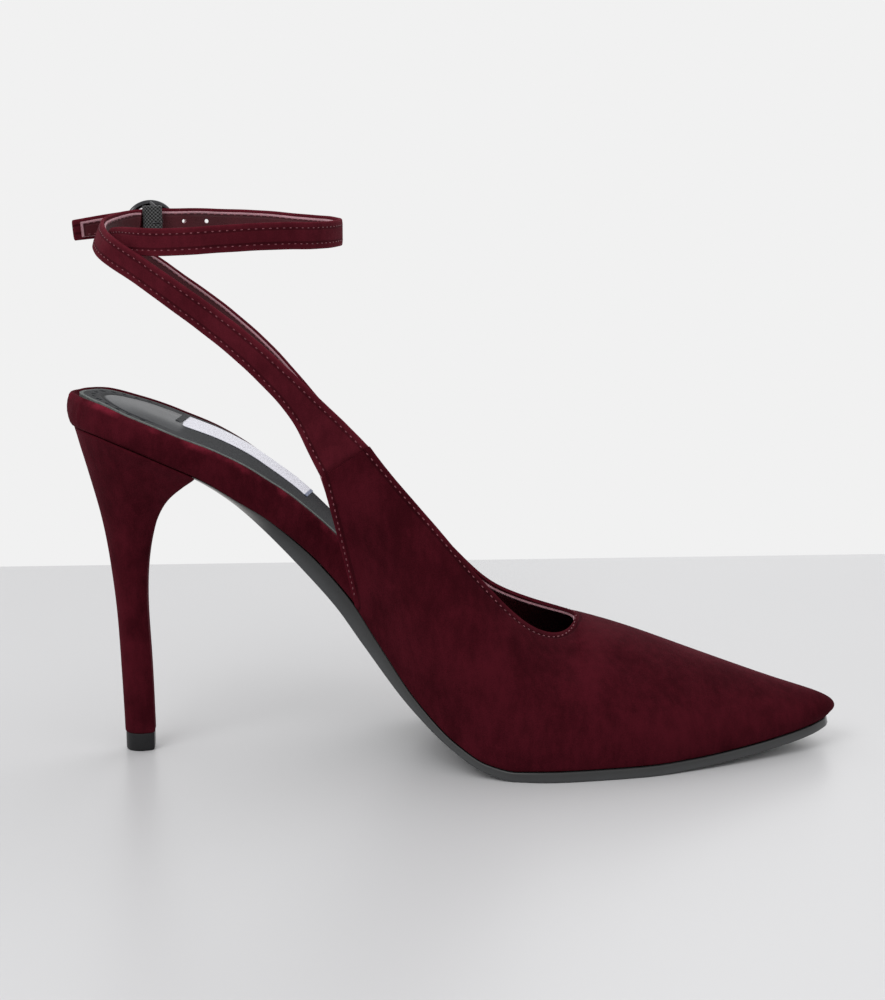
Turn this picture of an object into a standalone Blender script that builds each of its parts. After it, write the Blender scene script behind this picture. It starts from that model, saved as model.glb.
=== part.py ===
"""Left slingback pump: suede upper and straps, leather sole, covered stiletto heel and ankle buckle.

X runs from heel to toe, Y to the outer side of the foot and Z up; the sole stands on z = 0.
Tables hold percent of a driving size, or millimetres where their headings say so.
"""

import math

import bmesh
import bpy
import numpy as np

MM = 0.001

# Driving sizes, millimetres
LENGTH = 232.0           # back of the seat to the tip of the sole
BALL_WIDTH = 77.0        # across the sole at the toe joints
HEEL_HEIGHT = 100.0      # floor to the seam under the seat
INSTEP_HEIGHT = 99.0     # floor to the top of the wings over the instep
ANKLE_HEIGHT = 160.2     # floor to the middle of the ankle strap at the buckle

# Stock thicknesses and clearances, millimetres
UPPER_WALL = 1.8
STRAP_THICK = 1.8
SOCK_THICK = 1.4
SOCK_MARGIN = 2.0        # rim of suede left showing round the sock
BED_TOE = 4.2            # how far the footbed stops short of the sole's tip
NARROW_END = 8.0         # half width below which a layer's inset tapers away
GAP = 0.3                # room left between neighbouring pieces
TIP_HEIGHT = 5.4         # depth of the heel's top piece
OUTER_DROP = 10.5        # how much lower the outer wing stands than the inner one

# Buckle, millimetres
BUCKLE_PLACE = (25.4, 24.3, ANKLE_HEIGHT)   # middle of the centre bar
BUCKLE_TURN = 25.0       # degrees between the strap at the buckle and the length of the shoe
FRAME_LONG = 7.0         # half length of the oval along the strap, to the wire's middle
FRAME_TALL = 5.6         # half height of the oval, to the wire's middle
FRAME_WIRE = 0.85        # radius of the frame's wire
FRAME_OUT = 4.6          # how far the oval stands outside the bar
BAR_WIRE = 0.8
PRONG_WIRE = 0.6
ELASTIC_THICK = 0.9
ELASTIC_WIDTH = 7.2
STRAP_HOLE = 1.7         # radius of the punched hole that the prong uses
HOLE_ALONG = 2.2         # how far ahead of the bar that hole is punched
HOLE_REACH = 7.0         # outward length of the punch
BAR_STRAIGHT = 0.68      # share of the bar that is straight before it bends out to the oval
BAR_BEND = 1.5           # power of that bend
PRONG_HOOK = (-150.0, 90.0)     # degrees of the prong's hook round the bar
PRONG_RISE = ((1.6, 0.16), (3.0, 0.45), (4.8, 0.90), (7.0, 1.0), (8.2, 1.0))   # along, share of its lift
ELASTIC_FOLD = 125.0     # degrees of the elastic's fold each way from straight ahead of the bar
ELASTIC_LEGS = ((-2.9, 0.12), (-4.0, 0.06))    # behind the bar: along, and half the room between the legs
SLOT_SPAN = (-2.4, 4.0)  # along the strap, ends of the slot for the prong
SLOT_DEEP = 4.0          # half depth of that slot's cutter

# Mesh settings
RECTANGLE = ((-1, -1), (-1, 1), (1, 1), (1, -1))    # corners of a flat section, in order
JOIN_DISTANCE = 0.02     # points closer than this are one point, millimetres
SLIVER = 0.01            # edges shorter than this are dissolved, millimetres
SHARP_ANGLE = 40.0       # degrees between faces that still shade as one curve
LOOKUP_POINTS = 1200     # samples of the sole line when it is looked up by length


class Table:
    """Rows of named columns, read between rows by a smooth curve over the row number."""

    def __init__(self, columns, rows, steady=False):
        self.columns = columns
        self.values = np.array(rows, dtype=float)
        self.last = len(rows) - 1
        self.slopes = steady_slopes(self.values) if steady else spline_slopes(self.values)

    def __call__(self, step):
        """Return a dict of arrays, one for each column, at the given row numbers."""
        step = np.clip(np.asarray(step, dtype=float), 0.0, self.last)
        row = np.minimum(step.astype(int), self.last - 1)
        t = (step - row)[..., None]
        start, end = self.values[row], self.values[row + 1]
        leave, arrive = self.slopes[row], self.slopes[row + 1]
        curve = (start * (1 + 2 * t) * (1 - t) ** 2 + leave * t * (1 - t) ** 2
                 + end * t * t * (3 - 2 * t) - arrive * t * t * (1 - t))
        return {name: curve[..., k] for k, name in enumerate(self.columns)}


def spline_slopes(values):
    """Slopes at the rows of the natural cubic spline through them."""
    count = len(values)
    system = np.eye(count) * 4.0 + np.eye(count, k=1) + np.eye(count, k=-1)
    system[0, 0] = system[-1, -1] = 2.0
    rise = np.empty_like(values)
    rise[1:-1] = 3.0 * (values[2:] - values[:-2])
    rise[0] = 3.0 * (values[1] - values[0])
    rise[-1] = 3.0 * (values[-1] - values[-2])
    return np.linalg.solve(system, rise)


def steady_slopes(values):
    """Slopes at the rows that never overshoot: harmonic means, zero at a turn or a flat."""
    run = np.diff(values, axis=0)
    slopes = np.empty_like(values)
    slopes[0], slopes[-1] = run[0], run[-1]
    product = run[:-1] * run[1:]
    total = np.where(product > 0, run[:-1] + run[1:], 1.0)
    slopes[1:-1] = np.where(product > 0, 2.0 * product / total, 0.0)
    return slopes


# Line under the sole and seat, back to toe.  along: percent of LENGTH.  up: percent of HEEL_HEIGHT.
# inner, outer: edges of the feather line, percent of BALL_WIDTH.  Millimetres: sole and footbed
# thickness, tuck of the sole's edge under that line, and cover, the wall that hides the footbed's edge.
BOTTOM = Table(
    ("along", "up", "inner", "outer", "sole", "bed", "tuck", "cover"),
    (
        (0.0, 101.9, 0.0, 0.0, 0.0, 8.1, 0.0, 0.0),
        (0.22, 101.95, 6.4, 6.4, 0.0, 8.1, 0.0, 0.0),
        (0.9, 101.9, 12.5, 12.5, 0.0, 8.0, 0.0, 0.0),
        (3.0, 101.2, 21.5, 21.5, 0.0, 7.9, 0.0, 0.0),
        (6.9, 98.3, 28.5, 28.5, 0.0, 7.5, 0.0, 0.0),
        (12.1, 93.4, 31.5, 31.5, 0.0, 7.6, 0.0, 0.0),
        (16.8, 87.6, 30.0, 30.5, 0.6, 8.2, 1.2, 0.0),
        (20.7, 80.6, 26.5, 28.5, 1.3, 9.1, 2.2, 0.0),
        (24.6, 71.6, 23.5, 27.2, 3.6, 8.8, 3.0, 0.3),
        (30.2, 57.3, 22.0, 27.0, 5.2, 8.4, 3.2, 2.3),
        (34.1, 46.7, 22.8, 28.2, 5.1, 8.6, 3.0, 2.5),
        (37.6, 35.5, 26.0, 30.8, 4.3, 8.2, 2.4, 3.0),
        (43.1, 19.4, 35.0, 36.5, 3.0, 6.9, 1.2, 3.4),
        (48.3, 8.2, 44.0, 41.0, 2.4, 5.0, 0.4, 3.4),
        (52.6, 2.1, 49.8, 44.0, 2.6, 4.2, 0.0, 3.0),
        (56.8, 0.0, 53.2, 45.5, 3.0, 3.6, -0.4, 2.5),
        (61.6, 0.0, 54.5, 45.3, 3.2, 3.2, -0.6, 2.5),
        (73.0, 0.0, 50.0, 39.0, 3.2, 3.0, -0.6, 2.5),
        (79.8, 0.5, 43.5, 31.0, 3.1, 3.0, -0.6, 2.5),
        (86.2, 1.6, 35.7, 21.5, 3.0, 3.0, -0.6, 2.5),
        (91.8, 3.0, 28.0, 11.5, 2.9, 2.8, -0.6, 2.5),
        (95.7, 4.3, 22.0, 3.5, 2.8, 2.6, -0.6, 2.5),
        (98.3, 5.4, 17.0, -2.5, 2.7, 2.4, -0.5, 2.5),
        (99.6, 6.0, 13.0, -6.6, 2.6, 2.2, -0.3, 2.5),
        (100.0, 6.2, 9.8, -9.8, 2.6, 2.0, 0.0, 2.5),
    ),
    steady=True,
)
BREAST_ROW = 6           # row of BOTTOM where the sole meets the heel
BREAST_CLEAR = 0.06      # part of a row that the sole stops short of the heel
EDGE_BEVEL = 1.5         # tuck of the sole's lower edge against that of its upper edge

# Half sections of the upper, toe to wing.  foot: where the wall stands on BOTTOM, percent of LENGTH.
# rise: percent of the way up the wing's free back edge.  top_x: percent of LENGTH.  top_z: percent of
# INSTEP_HEIGHT.  top_inner, top_outer: ridge or topline, percent of BALL_WIDTH from the middle.
# drop: percent of OUTER_DROP.  base_lean, top_lean: degrees from upright, outward and inward.
SECTION_COLUMNS = ("foot", "rise", "top_x", "top_z", "top_inner", "top_outer", "drop",
                   "base_lean", "top_lean")
THROAT_SECTION = (66.2, 0.0, 65.6, 42.6, 6.6, -6.6, 0.0, 12.0, 90.0)
VAMP = Table(
    SECTION_COLUMNS,
    (
        (100.0, 0.0, 100.0, 9.3, 9.8, -9.8, 0.0, 30.0, 40.0),
        (99.85, 0.0, 100.8, 11.4, 9.9, -9.9, 0.0, 30.0, 60.0),
        (99.0, 0.0, 100.4, 14.0, 10.1, -10.1, 0.0, 30.0, 80.0),
        (96.6, 0.0, 98.3, 16.7, 10.4, -10.4, 0.0, 28.0, 90.0),
        (92.0, 0.0, 93.8, 20.2, 10.7, -10.7, 0.0, 25.0, 90.0),
        (86.0, 0.0, 87.6, 25.2, 10.4, -10.4, 0.0, 21.0, 90.0),
        (78.5, 0.0, 79.6, 32.0, 9.4, -9.4, 0.0, 17.0, 90.0),
        (71.2, 0.0, 71.8, 38.5, 8.0, -8.0, 0.0, 14.0, 90.0),
        THROAT_SECTION,
    ),
)
QUARTERS = Table(
    SECTION_COLUMNS,
    (
        THROAT_SECTION,
        (65.0, 0.0, 65.3, 41.4, 13.2, -0.2, -9.0, 11.8, 80.0),
        (62.9, 0.0, 64.0, 40.4, 21.6, 8.6, -15.0, 11.4, 70.0),
        (60.0, 0.0, 61.7, 41.0, 29.0, 17.2, -12.0, 11.0, 58.0),
        (56.4, 0.0, 58.5, 45.2, 35.4, 25.4, 14.0, 11.0, 45.0),
        (52.3, 0.0, 54.8, 53.6, 40.0, 32.4, 57.0, 11.5, 33.0),
        (47.6, 0.0, 50.6, 65.0, 42.6, 37.0, 80.0, 14.0, 24.0),
        (42.6, 0.0, 46.2, 77.6, 43.4, 39.0, 97.0, 17.5, 15.0),
        (38.1, 0.0, 42.3, 88.4, 42.9, 39.4, 101.0, 21.0, 8.0),
        (34.6, 0.0, 40.0, 94.9, 42.2, 39.2, 100.0, 22.0, 4.0),
        (34.6, 34.0, 39.2, 97.2, 41.6, 39.0, 100.0, 18.0, 3.0),
        (34.6, 70.0, 38.7, 98.9, 41.1, 38.8, 100.0, 11.0, 2.0),
        (34.6, 100.0, 38.3, 100.3, 40.7, 38.6, 100.0, 3.0, 2.0),
    ),
)
WING_ROW = 9             # row of QUARTERS where the wall leaves the feather line for its free back edge
WING_BEND = (34.9, 66.5)    # pull of the wing's back edge: percent of LENGTH and of INSTEP_HEIGHT
WING_PULL = 0.55             # how far across to the seam that pull lies
WING_END = (32.3, 90.6)      # lower end of the wing's seam, in the same measures
WING_END_WIDTH = (40.2, 38.2)   # inner and outer offset of that end, percent of BALL_WIDTH
WALL_FULLNESS = 0.38     # length of a section's two handles against its chord

# Straps.  x, y, z: middle of the strap in millimetres from the seat's back on the floor.  facing: degrees
# of the outer face round the vertical, from +X towards +Y.  width: millimetres.
STRAP_START = 0.10       # row number where a strap starts, clear of its wing's seam
STRAP_COLUMNS = ("x", "y", "z", "facing", "width")
STRAP_WIDTH = 7.8        # of the ankle strap, millimetres
BACK_LEAN = 22.0         # degrees that the straps lean in over the back of the heel
LEAN_START = 0.45        # backward share of the facing at which that lean begins
INNER_SLING = (
    (81.6, -30.2, 94.2, -93.0, 15.7),
    (77.0, -30.4, 101.4, -95.0, 14.1),
    (71.7, -30.4, 108.7, -97.0, 10.9),
    (64.6, -30.0, 117.0, -99.0, 9.2),
    (54.9, -29.4, 126.2, -101.0, 8.6),
    (44.2, -28.6, 135.2, -103.0, 8.3),
    (33.4, -27.6, 143.2, -108.0, 8.1),
    (24.2, -25.0, 149.6, -120.0, 8.0),
    (15.9, -19.3, 154.4, -138.0, 8.0),
    (11.8, -10.0, 157.2, -157.0, 8.0),
    (10.5, -0.5, 158.5, -178.0, 8.0),
    (12.0, 9.0, 159.4, -208.0, 8.0),
)
INNER_END = ((-8.4, -1.0), (-4.8, 0.0))     # at the buckle: along the strap and outward from the bar
OUTER_SLING = (
    (81.6, 28.7, 83.7, 93.0, 15.7),
    (77.0, 29.0, 91.4, 95.0, 14.1),
    (71.9, 29.0, 99.6, 97.0, 10.9),
    (65.2, 28.6, 109.2, 99.0, 9.2),
    (56.0, 27.8, 119.8, 102.0, 8.6),
    (45.0, 26.2, 130.3, 105.0, 8.3),
    (34.0, 23.2, 139.2, 112.0, 8.1),
    (24.2, 18.2, 146.9, 124.0, 8.0),
    (17.0, 11.0, 152.2, 143.0, 8.0),
    (13.1, 1.0, 155.4, 174.0, 8.0),
    (14.7, -8.8, 157.0, 204.0, 8.0),
    (19.7, -17.3, 157.6, 230.0, 8.0),
    (27.0, -24.3, 157.9, 249.0, 7.9),
    (41.0, -28.0, 158.6, 264.0, 7.8),
    (57.0, -28.0, 159.5, 276.0, 7.8),
    (70.0, -22.6, 159.4, 300.0, 7.8),
    (78.8, -11.6, 159.0, 333.0, 7.8),
    (81.2, 1.0, 158.7, 362.0, 7.8),
    (78.0, 14.0, 158.6, 391.0, 7.8),
    (69.0, 23.6, 158.8, 418.0, 7.8),
    (56.0, 28.6, 159.5, 437.0, 7.8),
    (44.0, 30.0, 160.0, 452.0, 7.8),
)
OUTER_END = ((12.0, 0.9), (7.0, 1.8), (0.0, 3.8), (-7.0, 2.2), (-15.0, 2.6), (-25.6, 2.2))
TIP_WIDTHS = (STRAP_WIDTH, STRAP_WIDTH, STRAP_WIDTH, 7.6, 7.0, 6.2)    # at each row of OUTER_END
TIP_SINK = (0.0, 0.0, 0.0, 0.2, 0.8, 1.8)      # how far the free tip hangs below the strap's line

# Heel, seat to tip.  back_x, back_z and breast_x, breast_z: ends of a section in millimetres.  half: half
# width.  full: where the section is widest, percent from back to breast.  flat: breast width, percent.
# bow: rise of the section's middle over a straight line, millimetres.
HEEL = Table(
    ("back_x", "back_z", "breast_x", "breast_z", "half", "full", "flat", "bow"),
    (
        (0.9, 101.2, 38.4, 89.4, 24.2, 62.0, 94.0, 3.2),
        (2.6, 95.6, 35.2, 85.8, 21.2, 60.0, 88.0, 2.2),
        (4.3, 89.6, 31.2, 82.2, 18.0, 58.0, 82.0, 1.3),
        (6.1, 82.8, 28.0, 78.2, 14.8, 56.0, 76.0, 0.7),
        (7.9, 75.6, 25.5, 73.0, 11.9, 55.0, 72.0, 0.3),
        (9.6, 66.8, 23.5, 66.0, 9.2, 54.0, 70.0, 0.0),
        (11.0, 56.4, 22.1, 56.4, 7.2, 53.0, 68.0, 0.0),
        (12.2, 44.0, 21.8, 44.0, 5.7, 52.0, 66.0, 0.0),
        (12.9, 30.0, 22.4, 30.0, 4.9, 52.0, 66.0, 0.0),
        (13.4, 16.0, 22.8, 16.0, 4.6, 52.0, 66.0, 0.0),
        (13.7, TIP_HEIGHT + GAP, 23.0, TIP_HEIGHT + GAP, 4.5, 52.0, 66.0, 0.0),
    ),
)

# Top piece.  Height in millimetres and size against the heel's end, top to floor
TIP_LEVELS = ((TIP_HEIGHT, 0.97), (0.5, 0.95), (0.0, 0.88))

# Colour, roughness and metallic value of each material
FINISHES = {
    "suede": ((0.072, 0.006, 0.011), 0.95, 0.0),
    "sole_leather": ((0.012, 0.012, 0.013), 0.45, 0.0),
    "sock_leather": ((0.022, 0.024, 0.027), 0.40, 0.0),
    "top_piece": ((0.010, 0.010, 0.011), 0.35, 0.0),
    "gunmetal": ((0.150, 0.150, 0.155), 0.22, 1.0),
    "elastic": ((0.020, 0.021, 0.022), 0.85, 0.0),
}


def clear_scene():
    for item in list(bpy.data.objects):
        bpy.data.objects.remove(item)


def make_materials():
    """One Principled material for each finish."""
    materials = {}
    for name, (colour, roughness, metallic) in FINISHES.items():
        material = bpy.data.materials.new(name)
        material.use_nodes = True
        shader = material.node_tree.nodes["Principled BSDF"]
        shader.inputs["Base Color"].default_value = (*colour, 1.0)
        shader.inputs["Roughness"].default_value = roughness
        shader.inputs["Metallic"].default_value = metallic
        materials[name] = material
    return materials


def mesh_object(name, points, faces, material, parent):
    """A named object from millimetre points, with doubled points joined and faces turned outwards."""
    mesh = bpy.data.meshes.new(name)
    mesh.from_pydata((np.asarray(points) * MM).tolist(), [], [list(map(int, face)) for face in faces])
    shape = bmesh.new()
    shape.from_mesh(mesh)
    bmesh.ops.remove_doubles(shape, verts=shape.verts, dist=JOIN_DISTANCE * MM)
    bmesh.ops.dissolve_degenerate(shape, edges=shape.edges, dist=SLIVER * MM)
    bmesh.ops.recalc_face_normals(shape, faces=shape.faces)
    shape.to_mesh(mesh)
    shape.free()
    mesh.shade_smooth()
    mesh.set_sharp_from_angle(angle=math.radians(SHARP_ANGLE))
    mesh.materials.append(material)
    item = bpy.data.objects.new(name, mesh)
    item.parent = parent
    bpy.context.scene.collection.objects.link(item)
    return item


def grid_faces(rows, columns, wrap_columns=False, wrap_rows=False):
    """Quads over a grid of points stored row by row."""
    row, column = np.meshgrid(np.arange(rows - 1 + wrap_rows), np.arange(columns - 1 + wrap_columns),
                              indexing="ij")
    next_row, next_column = (row + 1) % rows, (column + 1) % columns
    corners = (row * columns + column, row * columns + next_column,
               next_row * columns + next_column, next_row * columns + column)
    return np.stack(corners, axis=-1).reshape(-1, 4).tolist()


def loft(rings):
    """Points and faces of a solid through closed rings whose second half mirrors the first."""
    rows, around = rings.shape[:2]
    faces = grid_faces(rows, around, wrap_columns=True)
    for first in (0, (rows - 1) * around):
        for k in range(around // 2 - 1):
            faces.append([first + k, first + k + 1, first + around - 2 - k, first + around - 1 - k])
    return rings.reshape(-1, 3), faces


def add_boolean(item, other, operation):
    """Join or cut with a hidden helper piece."""
    other.hide_render = True
    other.display_type = "WIRE"
    modifier = item.modifiers.new(operation.lower(), "BOOLEAN")
    modifier.operation = operation
    modifier.solver = "EXACT"
    modifier.object = other


# Bottom of the shoe

def bottom_at(step):
    """Sole line at rows of BOTTOM: millimetre sizes and the unit normal that points up into the shoe."""
    line = BOTTOM(step)
    reach = 0.02
    before, after = BOTTOM(np.asarray(step) - reach), BOTTOM(np.asarray(step) + reach)
    run = (after["along"] - before["along"]) * LENGTH
    climb = (after["up"] - before["up"]) * HEEL_HEIGHT
    size = np.hypot(run, climb)
    line["x"] = line["along"] * LENGTH / 100.0
    line["z"] = line["up"] * HEEL_HEIGHT / 100.0
    line["inner"] = line["inner"] * BALL_WIDTH / 100.0
    line["outer"] = line["outer"] * BALL_WIDTH / 100.0
    line["normal_x"], line["normal_z"] = -climb / size, run / size
    return line


def step_at(along):
    """Row number of BOTTOM at a percent of LENGTH."""
    steps = np.linspace(0.0, BOTTOM.last, LOOKUP_POINTS)
    return np.interp(along, BOTTOM(steps)["along"], steps)


def layer_rings(steps, heights, insets, ends=(0.0, 0.0), across=7):
    """Cross sections of a layer over the sole line.

    Each ring runs along the layer's underside from inner to outer edge and back along its top.
    heights gives the two levels over the line, insets draw in the lower and upper edges, and ends
    draws in the back and the toe.
    """
    plan = bottom_at(steps)
    back, toe = ends
    along = (back + plan["x"] * (LENGTH - back - toe) / LENGTH) * 100.0 / LENGTH
    line = bottom_at(step_at(along))
    middle = (plan["outer"] - plan["inner"]) / 2.0
    half = (plan["outer"] + plan["inner"]) / 2.0
    share = np.linspace(-1.0, 1.0, across)
    rings = []
    for height, inset, side in zip(heights(line), insets, (share, share[::-1])):
        width = half - inset * np.clip(half / NARROW_END, 0.0, 1.0)
        y = middle[:, None] + width[:, None] * side
        x = np.broadcast_to((line["x"] + height * line["normal_x"])[:, None], y.shape)
        z = np.broadcast_to((line["z"] + height * line["normal_z"])[:, None], y.shape)
        rings.append(np.stack([x, y, z], axis=-1))
    return np.concatenate(rings, axis=1)


def outsole(material, parent, rows=46):
    """Leather sole from the breast of the heel to the toe, its edge tucked in under the waist."""
    steps = np.linspace(BREAST_ROW + BREAST_CLEAR, BOTTOM.last, rows)
    tuck = BOTTOM(steps)["tuck"]
    rings = layer_rings(steps, lambda line: (np.zeros_like(line["sole"]), line["sole"]),
                        (tuck * EDGE_BEVEL, tuck))
    return mesh_object("outsole", *loft(rings), material, parent)


def footbed(material, parent, rows=54):
    """Suede-wrapped bed: its edge is the rim of the seat and waist, then it runs inside the upper."""
    steps = np.linspace(0.0, BOTTOM.last, rows)
    cover = BOTTOM(steps)["cover"]
    rings = layer_rings(steps, lambda line: (line["sole"] + GAP, line["sole"] + line["bed"]),
                        (cover, cover), (0.0, BED_TOE))
    return mesh_object("footbed", *loft(rings), material, parent)


def insole(material, parent, rows=46):
    """Sock of thin leather laid on the footbed inside its rim."""
    steps = np.linspace(0.0, BOTTOM.last, rows)
    edge = BOTTOM(steps)["cover"] + SOCK_MARGIN
    rings = layer_rings(steps, sock_levels, (edge, edge), (SOCK_MARGIN, BED_TOE + SOCK_MARGIN), across=5)
    return mesh_object("insole", *loft(rings), material, parent)


def sock_levels(line):
    """Underside and top of the sock over the sole line."""
    low = line["sole"] + line["bed"] + GAP
    return low, low + SOCK_THICK


# Heel

def seat_underside(x):
    """Height of the footbed's underside over the heel."""
    steps = np.linspace(0.0, BREAST_ROW + 1.0, LOOKUP_POINTS)
    line = bottom_at(steps)
    height = line["sole"] + GAP
    return np.interp(x, line["x"] + height * line["normal_x"], line["z"] + height * line["normal_z"])


def heel_rings(sections, side_points=8):
    """Rings from back to breast along the inner side and back along the outer side."""
    share = (1.0 - np.cos(np.linspace(0.0, math.pi, side_points))) / 2.0
    full = sections["full"][:, None] / 100.0
    flat = sections["flat"][:, None] / 100.0
    round_back = np.sqrt(np.clip(1.0 - (1.0 - share / full) ** 2, 0.0, 1.0))
    to_breast = 1.0 - (1.0 - flat) * ((share - full) / (1.0 - full)) ** 2
    width = sections["half"][:, None] * np.where(share < full, round_back, to_breast)
    x = sections["back_x"][:, None] * (1.0 - share) + sections["breast_x"][:, None] * share
    z = sections["back_z"][:, None] * (1.0 - share) + sections["breast_z"][:, None] * share
    z = z + sections["bow"][:, None] * 4.0 * share * (1.0 - share)
    inner = np.stack([x, -width, z], axis=-1)
    outer = np.stack([x, width, z], axis=-1)
    return np.concatenate([inner, outer[:, ::-1]], axis=1)


def heel(material, parent, rows=23):
    """Stiletto lofted from the curved seat down to the top piece."""
    rings = heel_rings(HEEL(np.linspace(0.0, HEEL.last, rows)))
    rings[0, :, 2] = seat_underside(rings[0, :, 0]) - GAP
    return mesh_object("heel", *loft(rings), material, parent)


def heel_tip(material, parent):
    """Top piece under the heel, with its lower edge rounded over."""
    last = HEEL(np.array([float(HEEL.last)]))
    ring = heel_rings(last)[0]
    middle = (ring[0] + ring[len(ring) // 2]) / 2.0
    rings = []
    for height, shrink in TIP_LEVELS:
        level = middle + (ring - middle) * shrink
        level[:, 2] = height
        rings.append(level)
    return mesh_object("heel_tip", *loft(np.array(rings)), material, parent)


# Upper

def feather_point(foot, side):
    """Foot of the upper's wall on the edge of the sole; side is -1 inner or +1 outer."""
    line = bottom_at(step_at(foot))
    height = line["sole"] + GAP
    edge = -line["inner"] if side < 0 else line["outer"]
    return np.stack([line["x"] + height * line["normal_x"], edge,
                     line["z"] + height * line["normal_z"]], axis=-1)


def wing_edge(start, rise, side):
    """Back edge of a wing, a curve with one pull from the feather line to the seam of its strap."""
    drop = OUTER_DROP if side > 0 else 0.0
    width = WING_END_WIDTH[0 if side < 0 else 1] * BALL_WIDTH / 100.0
    end = np.array([WING_END[0] * LENGTH / 100.0, side * width, WING_END[1] * INSTEP_HEIGHT / 100.0 - drop])
    pull_y = start[1] * (1.0 - WING_PULL) + end[1] * WING_PULL
    pull = np.array([WING_BEND[0] * LENGTH / 100.0, pull_y, WING_BEND[1] * INSTEP_HEIGHT / 100.0 - drop / 2])
    t = rise[..., None]
    return start * (1 - t) ** 2 + 2 * pull * t * (1 - t) + end * t * t


def upper_half(steps, side, points):
    """Grid of one half of the upper: each row a curve with two handles from its foot to its top."""
    vamp, quarters = VAMP(steps), QUARTERS(steps - VAMP.last)
    row = {name: np.where(steps <= VAMP.last, vamp[name], quarters[name]) for name in SECTION_COLUMNS}
    base = feather_point(row["foot"], side)
    free = steps > VAMP.last + WING_ROW
    wing_foot = feather_point(QUARTERS.values[WING_ROW, 0], side)
    base[free] = wing_edge(wing_foot, row["rise"][free] / 100.0, side)
    width = -row["top_inner"] if side < 0 else row["top_outer"]
    drop = row["drop"] * OUTER_DROP / 100.0 if side > 0 else 0.0
    top = np.stack([row["top_x"] * LENGTH / 100.0, width * BALL_WIDTH / 100.0,
                    row["top_z"] * INSTEP_HEIGHT / 100.0 - drop], axis=-1)
    chord = top - base
    reach = np.linalg.norm(chord, axis=-1, keepdims=True) * WALL_FULLNESS
    climb = chord * (1.0, 0.0, 1.0)
    climb /= np.maximum(np.linalg.norm(climb, axis=-1, keepdims=True), 0.001)
    outward = np.array([0.0, side, 0.0])
    lean = np.radians(row["base_lean"])[:, None]
    tuck = np.radians(row["top_lean"])[:, None]
    leave = (climb * np.cos(lean) + outward * np.sin(lean)) * reach
    arrive = (outward * np.sin(tuck) - climb * np.cos(tuck)) * reach
    first, second = base + leave, top + arrive
    t = np.linspace(0.0, 1.0, points)[None, :, None]
    return (base[:, None] * (1 - t) ** 3 + 3 * first[:, None] * t * (1 - t) ** 2
            + 3 * second[:, None] * t * t * (1 - t) + top[:, None] * t ** 3)


def upper(material, parent, rows=40, points=12):
    """Vamp and wings: two half grids that share the ridge to the throat, walled inwards."""
    toe_rows = rows * 2 // 5
    steps = np.concatenate([np.linspace(0.0, VAMP.last, toe_rows),
                            np.linspace(VAMP.last, VAMP.last + QUARTERS.last, rows - toe_rows + 1)[1:]])
    inner = upper_half(steps, -1.0, points)
    outer = upper_half(steps, 1.0, points)
    ridge = steps <= VAMP.last
    outer[ridge, -1] = inner[ridge, -1]
    inner[0], outer[0] = inner[0, 0], inner[0, 0]
    faces = grid_faces(rows, points)
    faces += [[rows * points + corner for corner in face[::-1]] for face in faces]
    item = mesh_object("upper", np.concatenate([inner.reshape(-1, 3), outer.reshape(-1, 3)]), faces,
                       material, parent)
    wall = item.modifiers.new("wall", "SOLIDIFY")
    wall.thickness = UPPER_WALL * MM
    wall.offset = -1.0
    wall.use_even_offset = True
    return item


# Straps and buckle

def buckle_axes():
    """Unit vectors along the strap, out of the buckle's face and up."""
    turn = math.radians(BUCKLE_TURN)
    forward = np.array([math.cos(turn), math.sin(turn), 0.0])
    outward = np.array([-math.sin(turn), math.cos(turn), 0.0])
    return forward, outward, np.array([0.0, 0.0, 1.0])


def at_buckle(along, out, up=0.0):
    """Point in the buckle's own measures: along the strap, outward from the bar, and up."""
    forward, outward, upward = buckle_axes()
    return np.array(BUCKLE_PLACE) + forward * along + outward * out + upward * up


def ribbon_rings(table, steps, thick):
    """Flat sections square to the middle line, facing outward, from lower to upper edge and back.

    Where the strap faces backward it also leans in, so that its upper edge lies further forward.
    """
    row = table(steps)
    middle = np.stack([row["x"], row["y"], row["z"]], axis=-1)
    tangent = np.gradient(middle, axis=0)
    tangent /= np.linalg.norm(tangent, axis=-1, keepdims=True)
    facing = np.radians(row["facing"])
    backward = np.clip((-np.cos(facing) - LEAN_START) / (1.0 - LEAN_START), 0.0, 1.0)
    lean = math.tan(math.radians(BACK_LEAN)) * backward
    out = np.stack([np.cos(facing), np.sin(facing), lean], axis=-1)
    out -= tangent * np.sum(out * tangent, axis=-1, keepdims=True)
    out /= np.linalg.norm(out, axis=-1, keepdims=True)
    up = np.cross(out, tangent)
    up *= np.sign(up[:, 2:])
    half = row["width"][:, None] / 2.0
    shell = out * thick / 2.0
    return np.stack([middle - up * half - shell, middle + up * half - shell,
                     middle + up * half + shell, middle - up * half + shell], axis=1)


def strap_medial(material, parent, rows=64):
    """Inner sling: from the inner wing, round the back outermost, to the buckle's elastic."""
    facing = BUCKLE_TURN + 90.0 - 360.0
    ends = [(*at_buckle(*place), facing, STRAP_WIDTH) for place in INNER_END]
    table = Table(STRAP_COLUMNS, [*INNER_SLING, *ends])
    rings = ribbon_rings(table, np.linspace(STRAP_START, table.last, rows), STRAP_THICK)
    return mesh_object("strap_medial", *loft(rings), material, parent)


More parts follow.
